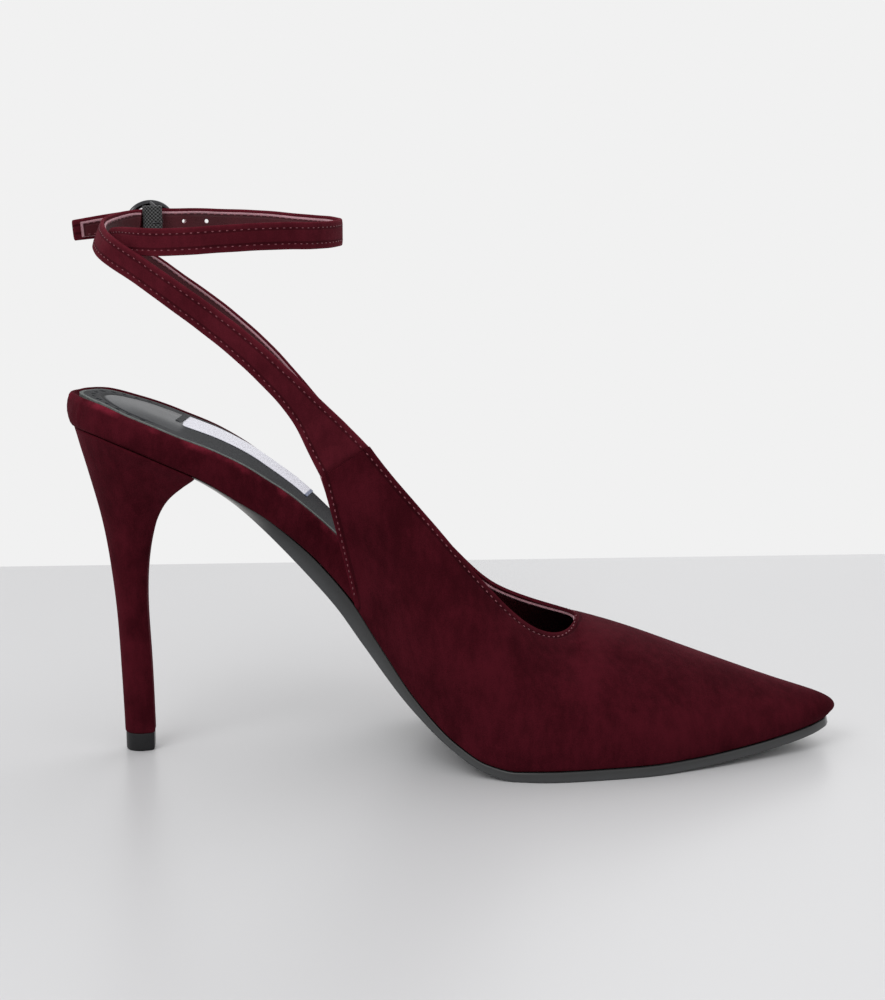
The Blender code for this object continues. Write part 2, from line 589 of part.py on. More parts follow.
def strap_lateral(material, parent, rows=140):
    """Outer sling: round the back inside the other strap, round the ankle, through the buckle."""
    facing = BUCKLE_TURN + 90.0 + 360.0
    ends = []
    for place, width, sink in zip(OUTER_END, TIP_WIDTHS, TIP_SINK):
        ends.append((*at_buckle(*place, -sink), facing, width))
    table = Table(STRAP_COLUMNS, [*OUTER_SLING, *ends])
    rings = ribbon_rings(table, np.linspace(STRAP_START, table.last, rows), STRAP_THICK)
    item = mesh_object("strap_lateral", *loft(rings), material, parent)
    punch = [at_buckle(HOLE_ALONG, 0.0), at_buckle(HOLE_ALONG, HOLE_REACH)]
    hole = tube("prong_hole", punch, STRAP_HOLE, material, parent, sides=12)
    add_boolean(item, hole, "DIFFERENCE")
    return item


def tube(name, path, radius, material, parent, sides=8, closed=False):
    """Round wire along a path of millimetre points, with flat ends or joined to itself."""
    path = np.asarray(path)
    if closed:
        tangent = np.roll(path, -1, axis=0) - np.roll(path, 1, axis=0)
    else:
        tangent = np.gradient(path, axis=0)
    tangent /= np.linalg.norm(tangent, axis=-1, keepdims=True)
    guide = min(buckle_axes(), key=lambda axis: np.max(np.abs(tangent @ axis)))
    side = np.cross(tangent, guide)
    side /= np.linalg.norm(side, axis=-1, keepdims=True)
    other = np.cross(tangent, side)
    angle = np.arange(sides) * 2.0 * math.pi / sides
    rings = (path[:, None] + radius * (side[:, None] * np.cos(angle)[None, :, None]
                                       + other[:, None] * np.sin(angle)[None, :, None]))
    if closed:
        points, faces = rings.reshape(-1, 3), grid_faces(len(path), sides, True, True)
    else:
        points, faces = loft(rings)
    return mesh_object(name, points, faces, material, parent)


def buckle_frame(material, parent, around=32):
    """Oval ring outside the strap, with a bar bowed in behind it."""
    angle = np.arange(around) * 2.0 * math.pi / around
    ring = [at_buckle(FRAME_LONG * math.cos(a), FRAME_OUT, FRAME_TALL * math.sin(a)) for a in angle]
    item = tube("buckle_frame", ring, FRAME_WIRE, material, parent, closed=True)
    share = np.linspace(-1.0, 1.0, 19)
    bend = np.clip((np.abs(share) - BAR_STRAIGHT) / (1.0 - BAR_STRAIGHT), 0.0, 1.0)
    bow = FRAME_OUT * bend ** BAR_BEND
    bar = [at_buckle(0.0, out, FRAME_TALL * up) for up, out in zip(share, bow)]
    add_boolean(item, tube("buckle_bar", bar, BAR_WIRE, material, parent), "UNION")
    return item


def buckle_prong(material, parent):
    """Pin hooked round the bar, through the strap's hole and over the front of the oval."""
    hook = BAR_WIRE + GAP + PRONG_WIRE
    over = FRAME_OUT + FRAME_WIRE + GAP + PRONG_WIRE
    angle = np.radians(np.linspace(*PRONG_HOOK, 11))
    path = [at_buckle(-hook * math.cos(a), hook * math.sin(a)) for a in angle]
    path += [at_buckle(along, hook + (over - hook) * lift) for along, lift in PRONG_RISE]
    return tube("buckle_prong", path, PRONG_WIRE, material, parent)


def buckle_elastic(material, parent):
    """Woven tab folded round the bar, with a slot in the fold for the prong."""
    fold = BAR_WIRE + GAP + ELASTIC_THICK / 2.0
    angle = np.radians(np.linspace(ELASTIC_FOLD, -ELASTIC_FOLD, 15))
    legs = [(along, ELASTIC_THICK / 2.0 + room) for along, room in ELASTIC_LEGS]
    path = legs[::-1] + [(fold * math.cos(a), fold * math.sin(a)) for a in angle]
    path = np.array(path + [(along, -out) for along, out in legs])
    tangent = np.gradient(path, axis=0)
    tangent /= np.linalg.norm(tangent, axis=-1, keepdims=True)
    normal = np.stack([-tangent[:, 1], tangent[:, 0]], axis=-1) * ELASTIC_THICK / 2.0
    rings = []
    for middle, shift in zip(path, normal):
        rings.append([at_buckle(*(middle + shift * face), up * ELASTIC_WIDTH / 2.0)
                      for face, up in RECTANGLE])
    item = mesh_object("buckle_elastic", *loft(np.array(rings)), material, parent)
    slot_half = PRONG_WIRE + 2.0 * GAP
    block = [[at_buckle(along, out * SLOT_DEEP, up * slot_half) for out, up in RECTANGLE]
             for along in SLOT_SPAN]
    add_boolean(item, mesh_object("elastic_slot", *loft(np.array(block)), material, parent), "DIFFERENCE")
    return item


def stand_on_origin(parent):
    """Move the parent so that the middle of the shoe's box stands over the origin."""
    bpy.context.view_layer.update()
    shapes = bpy.context.evaluated_depsgraph_get()
    corners = []
    for item in parent.children:
        if item.hide_render:
            continue
        solid = item.evaluated_get(shapes)
        corners += [tuple(item.matrix_world @ vertex.co) for vertex in solid.data.vertices]
    corners = np.array(corners)
    low, high = corners.min(axis=0), corners.max(axis=0)
    parent.location = (-(low[0] + high[0]) / 2.0, -(low[1] + high[1]) / 2.0, -low[2])


def main():
    clear_scene()
    finish = make_materials()
    shoe = bpy.data.objects.new("shoe", None)
    bpy.context.scene.collection.objects.link(shoe)
    outsole(finish["sole_leather"], shoe)
    footbed(finish["suede"], shoe)
    insole(finish["sock_leather"], shoe)
    heel(finish["suede"], shoe)
    heel_tip(finish["top_piece"], shoe)
    upper(finish["suede"], shoe)
    strap_medial(finish["suede"], shoe)
    strap_lateral(finish["suede"], shoe)
    buckle_frame(finish["gunmetal"], shoe)
    buckle_prong(finish["gunmetal"], shoe)
    buckle_elastic(finish["elastic"], shoe)
    stand_on_origin(shoe)


main()
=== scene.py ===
"""Looks of a left slingback pump: burgundy suede, black leather sole and sock, dark metal buckle.

Shapes are worked out in millimetres in the maker's frame: the back of the seat at x = 0, the floor at
z = 0, the toe at +X and the outer side of the foot at +Y.  They become metres in the frame of the solids
when a piece is put into its mesh.
"""

import math

import bmesh
import bpy
import numpy as np
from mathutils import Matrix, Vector


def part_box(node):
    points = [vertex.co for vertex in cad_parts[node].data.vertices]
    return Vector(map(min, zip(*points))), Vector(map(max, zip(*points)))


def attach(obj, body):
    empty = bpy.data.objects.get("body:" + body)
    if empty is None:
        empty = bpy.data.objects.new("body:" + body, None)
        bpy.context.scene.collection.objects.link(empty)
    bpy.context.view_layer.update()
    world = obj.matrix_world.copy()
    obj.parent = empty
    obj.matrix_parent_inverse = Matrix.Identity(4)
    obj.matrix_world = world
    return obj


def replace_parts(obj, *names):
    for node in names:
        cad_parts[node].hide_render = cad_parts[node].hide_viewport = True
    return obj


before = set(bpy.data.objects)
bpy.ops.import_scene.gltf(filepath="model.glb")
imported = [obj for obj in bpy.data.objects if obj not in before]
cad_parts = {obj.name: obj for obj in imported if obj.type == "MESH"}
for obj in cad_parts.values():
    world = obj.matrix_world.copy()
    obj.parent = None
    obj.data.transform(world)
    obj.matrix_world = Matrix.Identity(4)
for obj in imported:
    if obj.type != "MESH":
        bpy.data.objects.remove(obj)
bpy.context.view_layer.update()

MM = 0.001

# Driving sizes, millimetres
LENGTH = 232.0           # back of the seat to the tip of the sole
BALL_WIDTH = 77.0        # across the sole at the toe joints
HEEL_HEIGHT = 100.0      # floor to the seam under the seat
INSTEP_HEIGHT = 99.0     # floor to the top of the wings over the instep
ANKLE_HEIGHT = 160.2     # floor to the middle of the ankle strap at the buckle
OUTER_DROP = 10.5        # how much lower the outer wing stands than the inner one
GAP = 0.3                # room left between neighbouring pieces
NARROW_END = 8.0         # half width below which a layer's inset tapers away

# Layers, millimetres
SUEDE_THICK = 1.05
LINING_THICK = 0.68
LAYER_GAP = 0.06         # between suede and lining
LINING_INSET = 0.9       # suede left showing inside between a free edge and the lining
EDGE_HIGHLIGHT_WIDTH = 0.7          # width of the lining's pale border along its cut edge, a painted highlight
TIP_INSET = 2.0          # suede left showing inside the ankle strap's free end
SEAM_INSET = 0.2         # and inside the inner sling's end
SOCK_THICK = 1.4
SOCK_MARGIN = 2.3        # suede lip left showing round the sock
BED_TOE = 4.2            # how far the bed stops short of the sole's tip
LIP_RISE = 1.4           # lip of the rim over the bed
FAR_INSET = 10.0         # the inset mark counts down from here to the edge

# Stitching, millimetres
STITCH_PITCH = 2.05
STITCH_LONG = 1.05
STITCH_WIDE = 0.36
STITCH_HIGH = 0.26
STITCH_INSET = 1.9       # row to edge
STITCH_TAPER = 0.93      # share of a stitch's section that its ends lose
STITCH_LIFT = 0.25       # rise of its middle, and sinking of its ends, against STITCH_HIGH
STITCH_SINK = 0.85
STITCH_RINGS = 6         # rings along a stitch
STITCH_SIDES = 6         # points of each ring


class Table:
    """Rows of named columns, read between rows by a smooth curve over the row number."""

    def __init__(self, columns, rows, steady=False):
        self.columns = columns
        self.values = np.array(rows, dtype=float)
        self.last = len(rows) - 1
        self.slopes = steady_slopes(self.values) if steady else spline_slopes(self.values)

    def __call__(self, step):
        """Cubic through each pair of rows with the rows' slopes: a dict of arrays, one for each column."""
        step = np.clip(np.asarray(step, dtype=float), 0.0, self.last)
        row = np.minimum(step.astype(int), self.last - 1)
        t = (step - row)[..., None]
        start, end = self.values[row], self.values[row + 1]
        leave, arrive = self.slopes[row], self.slopes[row + 1]
        curve = (start * (1 + 2 * t) * (1 - t) ** 2 + leave * t * (1 - t) ** 2
                 + end * t * t * (3 - 2 * t) - arrive * t * t * (1 - t))
        return {name: curve[..., k] for k, name in enumerate(self.columns)}


def spline_slopes(values):
    """Slopes at the rows of the natural cubic spline through them."""
    count = len(values)
    system = np.eye(count) * 4.0 + np.eye(count, k=1) + np.eye(count, k=-1)
    system[0, 0] = system[-1, -1] = 2.0
    rise = np.empty_like(values)
    rise[1:-1] = 3.0 * (values[2:] - values[:-2])
    rise[0] = 3.0 * (values[1] - values[0])
    rise[-1] = 3.0 * (values[-1] - values[-2])
    return np.linalg.solve(system, rise)


def steady_slopes(values):
    """Slopes at the rows that never overshoot: harmonic means, zero at a turn or a flat."""
    run = np.diff(values, axis=0)
    slopes = np.empty_like(values)
    slopes[0], slopes[-1] = run[0], run[-1]
    product = run[:-1] * run[1:]
    total = np.where(product > 0, run[:-1] + run[1:], 1.0)
    slopes[1:-1] = np.where(product > 0, 2.0 * product / total, 0.0)
    return slopes


# Line under the sole and seat, back to toe.  along: percent of LENGTH.  up: percent of HEEL_HEIGHT.
# inner, outer: edges of the feather line, percent of BALL_WIDTH.  Millimetres: sole and footbed
# thickness, tuck of the sole's edge under that line, and cover, the wall that hides the footbed's edge.
BOTTOM = Table(
    ("along", "up", "inner", "outer", "sole", "bed", "tuck", "cover"),
    (
        (0.0, 101.9, 0.0, 0.0, 0.0, 8.1, 0.0, 0.0),
        (0.22, 101.95, 6.4, 6.4, 0.0, 8.1, 0.0, 0.0),
        (0.9, 101.9, 12.5, 12.5, 0.0, 8.0, 0.0, 0.0),
        (3.0, 101.2, 21.5, 21.5, 0.0, 7.9, 0.0, 0.0),
        (6.9, 98.3, 28.5, 28.5, 0.0, 7.5, 0.0, 0.0),
        (12.1, 93.4, 31.5, 31.5, 0.0, 7.6, 0.0, 0.0),
        (16.8, 87.6, 30.0, 30.5, 0.6, 8.2, 1.2, 0.0),
        (20.7, 80.6, 26.5, 28.5, 1.3, 9.1, 2.2, 0.0),
        (24.6, 71.6, 23.5, 27.2, 3.6, 8.8, 3.0, 0.3),
        (30.2, 57.3, 22.0, 27.0, 5.2, 8.4, 3.2, 2.3),
        (34.1, 46.7, 22.8, 28.2, 5.1, 8.6, 3.0, 2.5),
        (37.6, 35.5, 26.0, 30.8, 4.3, 8.2, 2.4, 3.0),
        (43.1, 19.4, 35.0, 36.5, 3.0, 6.9, 1.2, 3.4),
        (48.3, 8.2, 44.0, 41.0, 2.4, 5.0, 0.4, 3.4),
        (52.6, 2.1, 49.8, 44.0, 2.6, 4.2, 0.0, 3.0),
        (56.8, 0.0, 53.2, 45.5, 3.0, 3.6, -0.4, 2.5),
        (61.6, 0.0, 54.5, 45.3, 3.2, 3.2, -0.6, 2.5),
        (73.0, 0.0, 50.0, 39.0, 3.2, 3.0, -0.6, 2.5),
        (79.8, 0.5, 43.5, 31.0, 3.1, 3.0, -0.6, 2.5),
        (86.2, 1.6, 35.7, 21.5, 3.0, 3.0, -0.6, 2.5),
        (91.8, 3.0, 28.0, 11.5, 2.9, 2.8, -0.6, 2.5),
        (95.7, 4.3, 22.0, 3.5, 2.8, 2.6, -0.6, 2.5),
        (98.3, 5.4, 17.0, -2.5, 2.7, 2.4, -0.5, 2.5),
        (99.6, 6.0, 13.0, -6.6, 2.6, 2.2, -0.3, 2.5),
        (100.0, 6.2, 9.8, -9.8, 2.6, 2.0, 0.0, 2.5),
    ),
    steady=True,
)
BREAST_ROW = 6           # row of BOTTOM where the sole meets the heel
BREAST_TUCK = 0.2        # part of a row that the sole reaches in over the heel's top
EDGE_BEVEL = 1.5         # tuck of the sole's lower edge against that of its upper edge
LOOKUP_POINTS = 1200     # samples of the sole line when it is looked up by length
LOOKUP_FINE = 3000       # samples of a strap's line, which is longer
LOOKUP_COARSE = 400      # samples of a buckle part's line, which is short

# Half sections of the upper, toe to wing.  foot: where the wall stands on BOTTOM, percent of LENGTH.
# rise: percent of the way up the wing's free back edge.  top_x: percent of LENGTH.  top_z: percent of
# INSTEP_HEIGHT.  top_inner, top_outer: ridge or topline, percent of BALL_WIDTH from the middle.
# drop: percent of OUTER_DROP.  base_lean, top_lean: degrees from upright, outward and inward.
SECTION_COLUMNS = ("foot", "rise", "top_x", "top_z", "top_inner", "top_outer", "drop",
                   "base_lean", "top_lean")
THROAT_SECTION = (66.2, 0.0, 65.6, 42.6, 6.6, -6.6, 0.0, 12.0, 90.0)
VAMP = Table(
    SECTION_COLUMNS,
    (
        (100.0, 0.0, 100.0, 9.3, 9.8, -9.8, 0.0, 30.0, 40.0),
        (99.85, 0.0, 100.8, 11.4, 9.9, -9.9, 0.0, 30.0, 60.0),
        (99.0, 0.0, 100.4, 14.0, 10.1, -10.1, 0.0, 30.0, 80.0),
        (96.6, 0.0, 98.3, 16.7, 10.4, -10.4, 0.0, 28.0, 90.0),
        (92.0, 0.0, 93.8, 20.2, 10.7, -10.7, 0.0, 25.0, 90.0),
        (86.0, 0.0, 87.6, 25.2, 10.4, -10.4, 0.0, 21.0, 90.0),
        (78.5, 0.0, 79.6, 32.0, 9.4, -9.4, 0.0, 17.0, 90.0),
        (71.2, 0.0, 71.8, 38.5, 8.0, -8.0, 0.0, 14.0, 90.0),
        THROAT_SECTION,
    ),
)
QUARTERS = Table(
    SECTION_COLUMNS,
    (
        THROAT_SECTION,
        (65.0, 0.0, 65.3, 41.4, 13.2, -0.2, -9.0, 11.8, 80.0),
        (62.9, 0.0, 64.0, 40.4, 21.6, 8.6, -15.0, 11.4, 70.0),
        (60.0, 0.0, 61.7, 41.0, 29.0, 17.2, -12.0, 11.0, 58.0),
        (56.4, 0.0, 58.5, 45.2, 35.4, 25.4, 14.0, 11.0, 45.0),
        (52.3, 0.0, 54.8, 53.6, 40.0, 32.4, 57.0, 11.5, 33.0),
        (47.6, 0.0, 50.6, 65.0, 42.6, 37.0, 80.0, 14.0, 24.0),
        (42.6, 0.0, 46.2, 77.6, 43.4, 39.0, 97.0, 17.5, 15.0),
        (38.1, 0.0, 42.3, 88.4, 42.9, 39.4, 101.0, 21.0, 8.0),
        (34.6, 0.0, 40.0, 94.9, 42.2, 39.2, 100.0, 22.0, 4.0),
        (34.6, 34.0, 39.2, 97.2, 41.6, 39.0, 100.0, 18.0, 3.0),
        (34.6, 70.0, 38.7, 98.9, 41.1, 38.8, 100.0, 11.0, 2.0),
        (34.6, 100.0, 38.3, 100.3, 40.7, 38.6, 100.0, 3.0, 2.0),
    ),
)
WING_ROW = 9             # row of QUARTERS where the wall leaves the feather line for its free back edge
WING_BEND = (34.9, 66.5)    # pull of the wing's back edge: percent of LENGTH and of INSTEP_HEIGHT
WING_PULL = 0.55             # how far across to the seam that pull lies
WING_END = (32.3, 90.6)      # lower end of the wing's seam, in the same measures
WING_END_WIDTH = (40.2, 38.2)   # inner and outer offset of that end, percent of BALL_WIDTH
WALL_FULLNESS = 0.38     # length of a section's two handles against its chord

# Straps.  x, y, z: middle of the strap in millimetres.  facing: degrees of the outer face round the
# vertical, from +X towards +Y.  width: millimetres.
STRAP_COLUMNS = ("x", "y", "z", "facing", "width")
STRAP_WIDTH = 7.8
STRAP_HALF = 0.9         # half of the strap's thickness
SEAM_TUCK = 0.8          # how far a strap reaches in under its wing's seam
SEAM_SINK = 0.7          # how deep it lies there below its own line
SEAM_RISE = 0.75         # how much its upper edge widens to meet the wing's corner
BACK_LEAN = 22.0         # degrees that the outer face leans back at the heel
LEAN_START = 0.45        # how far the face looks backwards before that lean begins
INNER_SLING = (
    (81.6, -30.2, 94.2, -93.0, 15.7),
    (77.0, -30.4, 101.4, -95.0, 14.1),
    (71.7, -30.4, 108.7, -97.0, 10.9),
    (64.6, -30.0, 117.0, -99.0, 9.2),
    (54.9, -29.4, 126.2, -101.0, 8.6),
    (44.2, -28.6, 135.2, -103.0, 8.3),
    (33.4, -27.6, 143.2, -108.0, 8.1),
    (24.2, -25.0, 149.6, -120.0, 8.0),
    (15.9, -19.3, 154.4, -138.0, 8.0),
    (11.8, -10.0, 157.2, -157.0, 8.0),
    (10.5, -0.5, 158.5, -178.0, 8.0),
    (12.0, 9.0, 159.4, -208.0, 8.0),
)
INNER_END = ((-8.4, -1.0), (-4.8, 0.0))     # at the buckle: along the strap and outward from the bar
OUTER_SLING = (
    (81.6, 28.7, 83.7, 93.0, 15.7),
    (77.0, 29.0, 91.4, 95.0, 14.1),
    (71.9, 29.0, 99.6, 97.0, 10.9),
    (65.2, 28.6, 109.2, 99.0, 9.2),
    (56.0, 27.8, 119.8, 102.0, 8.6),
    (45.0, 26.2, 130.3, 105.0, 8.3),
    (34.0, 23.2, 139.2, 112.0, 8.1),
    (24.2, 18.2, 146.9, 124.0, 8.0),
    (17.0, 11.0, 152.2, 143.0, 8.0),
    (13.1, 1.0, 155.4, 174.0, 8.0),
    (14.7, -8.8, 157.0, 204.0, 8.0),
    (19.7, -17.3, 157.6, 230.0, 8.0),
    (27.0, -24.3, 157.9, 249.0, 7.9),
    (41.0, -28.0, 158.6, 264.0, 7.8),
    (57.0, -28.0, 159.5, 276.0, 7.8),
    (70.0, -22.6, 159.4, 300.0, 7.8),
    (78.8, -11.6, 159.0, 333.0, 7.8),
    (81.2, 1.0, 158.7, 362.0, 7.8),
    (78.0, 14.0, 158.6, 391.0, 7.8),
    (69.0, 23.6, 158.8, 418.0, 7.8),
    (56.0, 28.6, 159.5, 437.0, 7.8),
    (44.0, 30.0, 160.0, 452.0, 7.8),
)
OUTER_END = ((12.0, 0.9), (7.0, 1.8), (0.0, 3.8), (-7.0, 2.2), (-15.0, 2.6), (-25.6, 2.2))
TIP_WIDTHS = (STRAP_WIDTH, STRAP_WIDTH, STRAP_WIDTH, 7.6, 7.0, 6.2)
TIP_SINK = (0.0, 0.0, 0.0, 0.2, 0.8, 1.8)

# Buckle, millimetres
BUCKLE_PLACE = (25.4, 24.3, ANKLE_HEIGHT)   # middle of the centre bar
BUCKLE_TURN = 25.0       # degrees between the strap at the buckle and the length of the shoe
FRAME_LONG = 7.0         # half length of the oval along the strap, to the wire's middle
FRAME_TALL = 5.6         # half height of the oval, to the wire's middle
FRAME_WIRE = 0.85        # radius of the frame's wire
FRAME_OUT = 4.6          # how far the oval stands outside the bar
BAR_WIRE = 0.8
BAR_STRAIGHT = 0.68      # share of the bar that is straight before it bends out to the oval
BAR_BEND = 1.5           # power of that bend
PRONG_WIRE = 0.6
PRONG_HOOK = (-150.0, 90.0)     # degrees of the prong's hook round the bar
PRONG_RISE = ((1.6, 0.16), (3.0, 0.45), (4.8, 0.90), (7.0, 1.0), (8.2, 1.0))   # along, share of its lift
ELASTIC_THICK = 0.9
ELASTIC_FOLD = 125.0     # degrees of the elastic's fold each way from straight ahead of the bar
ELASTIC_LEGS = ((-2.9, 0.12), (-4.0, 0.06))    # behind the bar: along, and half the room between the legs
HOLE_ALONG = 2.2         # how far ahead of the bar the prong's hole is punched

# Heel, seat to tip.  back_x, back_z and breast_x, breast_z: ends of a section in millimetres.  half: half
# width.  full: where the section is widest, percent from back to breast.  flat: breast width, percent.
# bow: rise of the section's middle over a straight line, millimetres.
TIP_HEIGHT = 5.4         # depth of the heel's top piece
HEEL = Table(
    ("back_x", "back_z", "breast_x", "breast_z", "half", "full", "flat", "bow"),
    (
        (0.9, 101.2, 38.4, 89.4, 24.2, 62.0, 94.0, 3.2),
        (2.6, 95.6, 35.2, 85.8, 21.2, 60.0, 88.0, 2.2),
        (4.3, 89.6, 31.2, 82.2, 18.0, 58.0, 82.0, 1.3),
        (6.1, 82.8, 28.0, 78.2, 14.8, 56.0, 76.0, 0.7),
        (7.9, 75.6, 25.5, 73.0, 11.9, 55.0, 72.0, 0.3),
        (9.6, 66.8, 23.5, 66.0, 9.2, 54.0, 70.0, 0.0),
        (11.0, 56.4, 22.1, 56.4, 7.2, 53.0, 68.0, 0.0),
        (12.2, 44.0, 21.8, 44.0, 5.7, 52.0, 66.0, 0.0),
        (12.9, 30.0, 22.4, 30.0, 4.9, 52.0, 66.0, 0.0),
        (13.4, 16.0, 22.8, 16.0, 4.6, 52.0, 66.0, 0.0),
        (13.7, TIP_HEIGHT + GAP, 23.0, TIP_HEIGHT + GAP, 4.5, 52.0, 66.0, 0.0),
    ),
)


# Small mathematics

def unit(vectors):
    """Vectors scaled to length one."""
    return vectors / np.maximum(np.linalg.norm(vectors, axis=-1, keepdims=True), 1e-9)


def bell(x):
    """Bell curve: one at zero, and near nothing past two."""
    return np.exp(-np.square(x))


def ease(x, low, high):
    """Smooth step from zero at low to one at high."""
    t = np.clip((x - low) / (high - low), 0.0, 1.0)
    return t * t * (3.0 - 2.0 * t)


def run_length(path):
    """Length along a path up to each of its points."""
    return np.concatenate([[0.0], np.cumsum(np.linalg.norm(np.diff(path, axis=0), axis=-1))])


def read_at(values, index):
    """Rows of an array at fractional row numbers, between neighbours in proportion."""
    row = np.minimum(index.astype(int), len(values) - 2)
    t = (index - row).reshape((-1,) + (1,) * (values.ndim - 1))
    return values[row] * (1.0 - t) + values[row + 1] * t


def soften(values, passes, weight=1.0, wrap=False):
    """Average each row with its two neighbours, passes times; weight is the share taken on."""
    for _ in range(passes):
        if wrap:
            before, after = np.roll(values, 1, axis=0), np.roll(values, -1, axis=0)
        else:
            before = np.concatenate([values[:1], values[:-1]])
            after = np.concatenate([values[1:], values[-1:]])
        values = values + weight * ((before + after) / 4.0 - values / 2.0)
    return values


def sole_shift():
    """Maker's frame to the solids' frame: the sole's tip is at LENGTH and the heel is even about y = 0."""
    low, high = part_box("heel")
    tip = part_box("outsole")[1].x
    return np.array([tip / MM - LENGTH, (low.y + high.y) / 2.0 / MM, 0.0])


SHIFT = sole_shift()


# Meshes

def grid_faces(rows, columns, wrap_columns=False, wrap_rows=False):
    """Quads over a grid of points stored row by row."""
    row, column = np.meshgrid(np.arange(rows - 1 + wrap_rows), np.arange(columns - 1 + wrap_columns),
                              indexing="ij")
    next_row, next_column = (row + 1) % rows, (column + 1) % columns
    corners = (row * columns + column, row * columns + next_column,
               next_row * columns + next_column, next_row * columns + column)
    return np.stack(corners, axis=-1).reshape(-1, 4)


def cap_faces(first, around):
    """Quads across a ring of an even number of points, joining each to the one facing it."""
    k = np.arange(around // 2 - 1)
    return first + np.stack([k, k + 1, around - 2 - k, around - 1 - k], axis=-1)


def tube_faces(rows, around):
    """Quads round a stack of rings, with both ends capped."""
    ends = [cap_faces(0, around), cap_faces((rows - 1) * around, around)]
    return np.concatenate([grid_faces(rows, around, wrap_columns=True), *ends])


SHARP_ANGLE = math.radians(60.0)    # an edge sharper than this isn't shaded smooth
WELD_REACH = 0.02        # points of a welded piece closer than this become one
SLIVER = 0.005           # and its faces thinner than this go
BEVEL_STEPS = 3          # of the round at a wall's rim
BEVEL_ANGLE = math.radians(50.0)    # edges sharper than this get it


def linked(name, data):
    """New object of the scene that holds a mesh, a light or a camera."""
    item = bpy.data.objects.new(name, data)
    bpy.context.scene.collection.objects.link(item)
    return item


def put(name, slot, points, faces, materials, marks=None, face_slots=None, weld=False):
    """Piece from millimetre points, as metres in the solids' frame: faces outwards, shaded smooth."""
    mesh = bpy.data.meshes.new(name)
    places = (points.reshape(-1, 3) + SHIFT) * MM
    mesh.from_pydata(places, [], faces.tolist())
    for label, values in (marks or {}).items():
        layer = mesh.attributes.new(label, "FLOAT", "POINT")
        layer.data.foreach_set("value", np.ascontiguousarray(values, dtype=np.float32).ravel())
    for material in materials:
        mesh.materials.append(material)
    if face_slots is not None:
        mesh.polygons.foreach_set("material_index", face_slots.astype(np.int32))
    shape = bmesh.new()
    shape.from_mesh(mesh)
    if weld:
        bmesh.ops.remove_doubles(shape, verts=shape.verts, dist=WELD_REACH * MM)
        bmesh.ops.dissolve_degenerate(shape, edges=shape.edges, dist=SLIVER * MM)
    bmesh.ops.recalc_face_normals(shape, faces=shape.faces)
    shape.to_mesh(mesh)
    shape.free()
    mesh.shade_smooth()
    mesh.set_sharp_from_angle(angle=SHARP_ANGLE)
    item = linked(name, mesh)
    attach(item, "root")
    return item


def wall(item, thick, bevel):
    """Give a sheet its thickness inwards and round its rim."""
    solid = item.modifiers.new("thickness", "SOLIDIFY")
    solid.thickness = thick * MM
    solid.offset = -1.0
    rim = item.modifiers.new("rim", "BEVEL")
    rim.width = bevel * MM
    rim.segments = BEVEL_STEPS
    rim.limit_method = "ANGLE"
    rim.angle_limit = BEVEL_ANGLE
    return solid


def cut(item, cutters):
    """Cut closed shapes out of a piece, keeping the cutters' material on the cut, and remove them."""
    for cutter in cutters:
        hole = item.modifiers.new("hole", "BOOLEAN")
        hole.operation = "DIFFERENCE"
        hole.solver = "EXACT"
        hole.material_mode = "TRANSFER"
        hole.object = cutter
    shapes = bpy.context.evaluated_depsgraph_get()
    mesh = bpy.data.meshes.new_from_object(item.evaluated_get(shapes))
    item.modifiers.clear()
    item.data = mesh
    mesh.set_sharp_from_angle(angle=SHARP_ANGLE)
    for cutter in cutters:
        bpy.data.objects.remove(cutter)


# Corners of a flat band: where its quarter circle starts in degrees, side, level
CORNERS = ((0.0, 1.0, 1.0), (90.0, -1.0, 1.0), (180.0, -1.0, -1.0), (270.0, 1.0, -1.0))


def section_ring(turns, over, under):
    """Unit ring of a flat band with round corners, from the upper edge's middle over the outer face.

    Each point has a side (-1 to 1 across the band), a level (-1 inner face, 1 outer face) and its
    place on its corner's quarter circle; flat marks the points inside the two faces: 1 outer, 2 inner.
    turns, over and under count the points of a corner, of the outer face and of the inner face.
    """
    quarter = np.linspace(0.0, 90.0, turns)
    parts = []
    for corner, side, level in CORNERS:
        angle = np.radians(corner + quarter)
        full = np.ones(turns)
        parts.append(np.stack([side * full, level * full, np.cos(angle), np.sin(angle), 0.0 * full]))
        if corner in (0.0, 180.0):
            count = over if corner == 0.0 else under
            across = np.linspace(side, -side, count + 2)[1:-1]
            flat = np.full(count, level)
            parts.append(np.stack([across, flat, 0.0 * flat, flat, np.full(count, 1.5 - level / 2.0)]))
    side, level, arc_side, arc_level, flat = np.concatenate(parts, axis=1)
    return {"side": side, "level": level, "arc_side": arc_side, "arc_level": arc_level, "flat": flat}


def band_section(ring, half, low, high, radius):
    """Ring at each row: across = side (half - radius) + radius cos, out = the same between low and high."""
    sizes = (np.asarray(value, dtype=float).reshape(-1, 1) for value in (half, low, high, radius))
    half, low, high, radius = sizes
    across = ring["side"] * (half - radius) + radius * ring["arc_side"]
    out = (low + high) / 2.0 + ring["level"] * ((high - low) / 2.0 - radius) + radius * ring["arc_level"]
    return across, out


def edge_slots(ring, rows):
    """Material slot of each face of a band: 0 on its two faces and 1 round its edges."""
    following = np.roll(ring["flat"], -1)
    on_edge = (ring["flat"] == 0) & (following == 0)
    around = np.tile(on_edge.astype(int), rows - 1)
    return np.concatenate([around, np.ones(len(on_edge) - 2, dtype=int)])


# Shape of the bottom

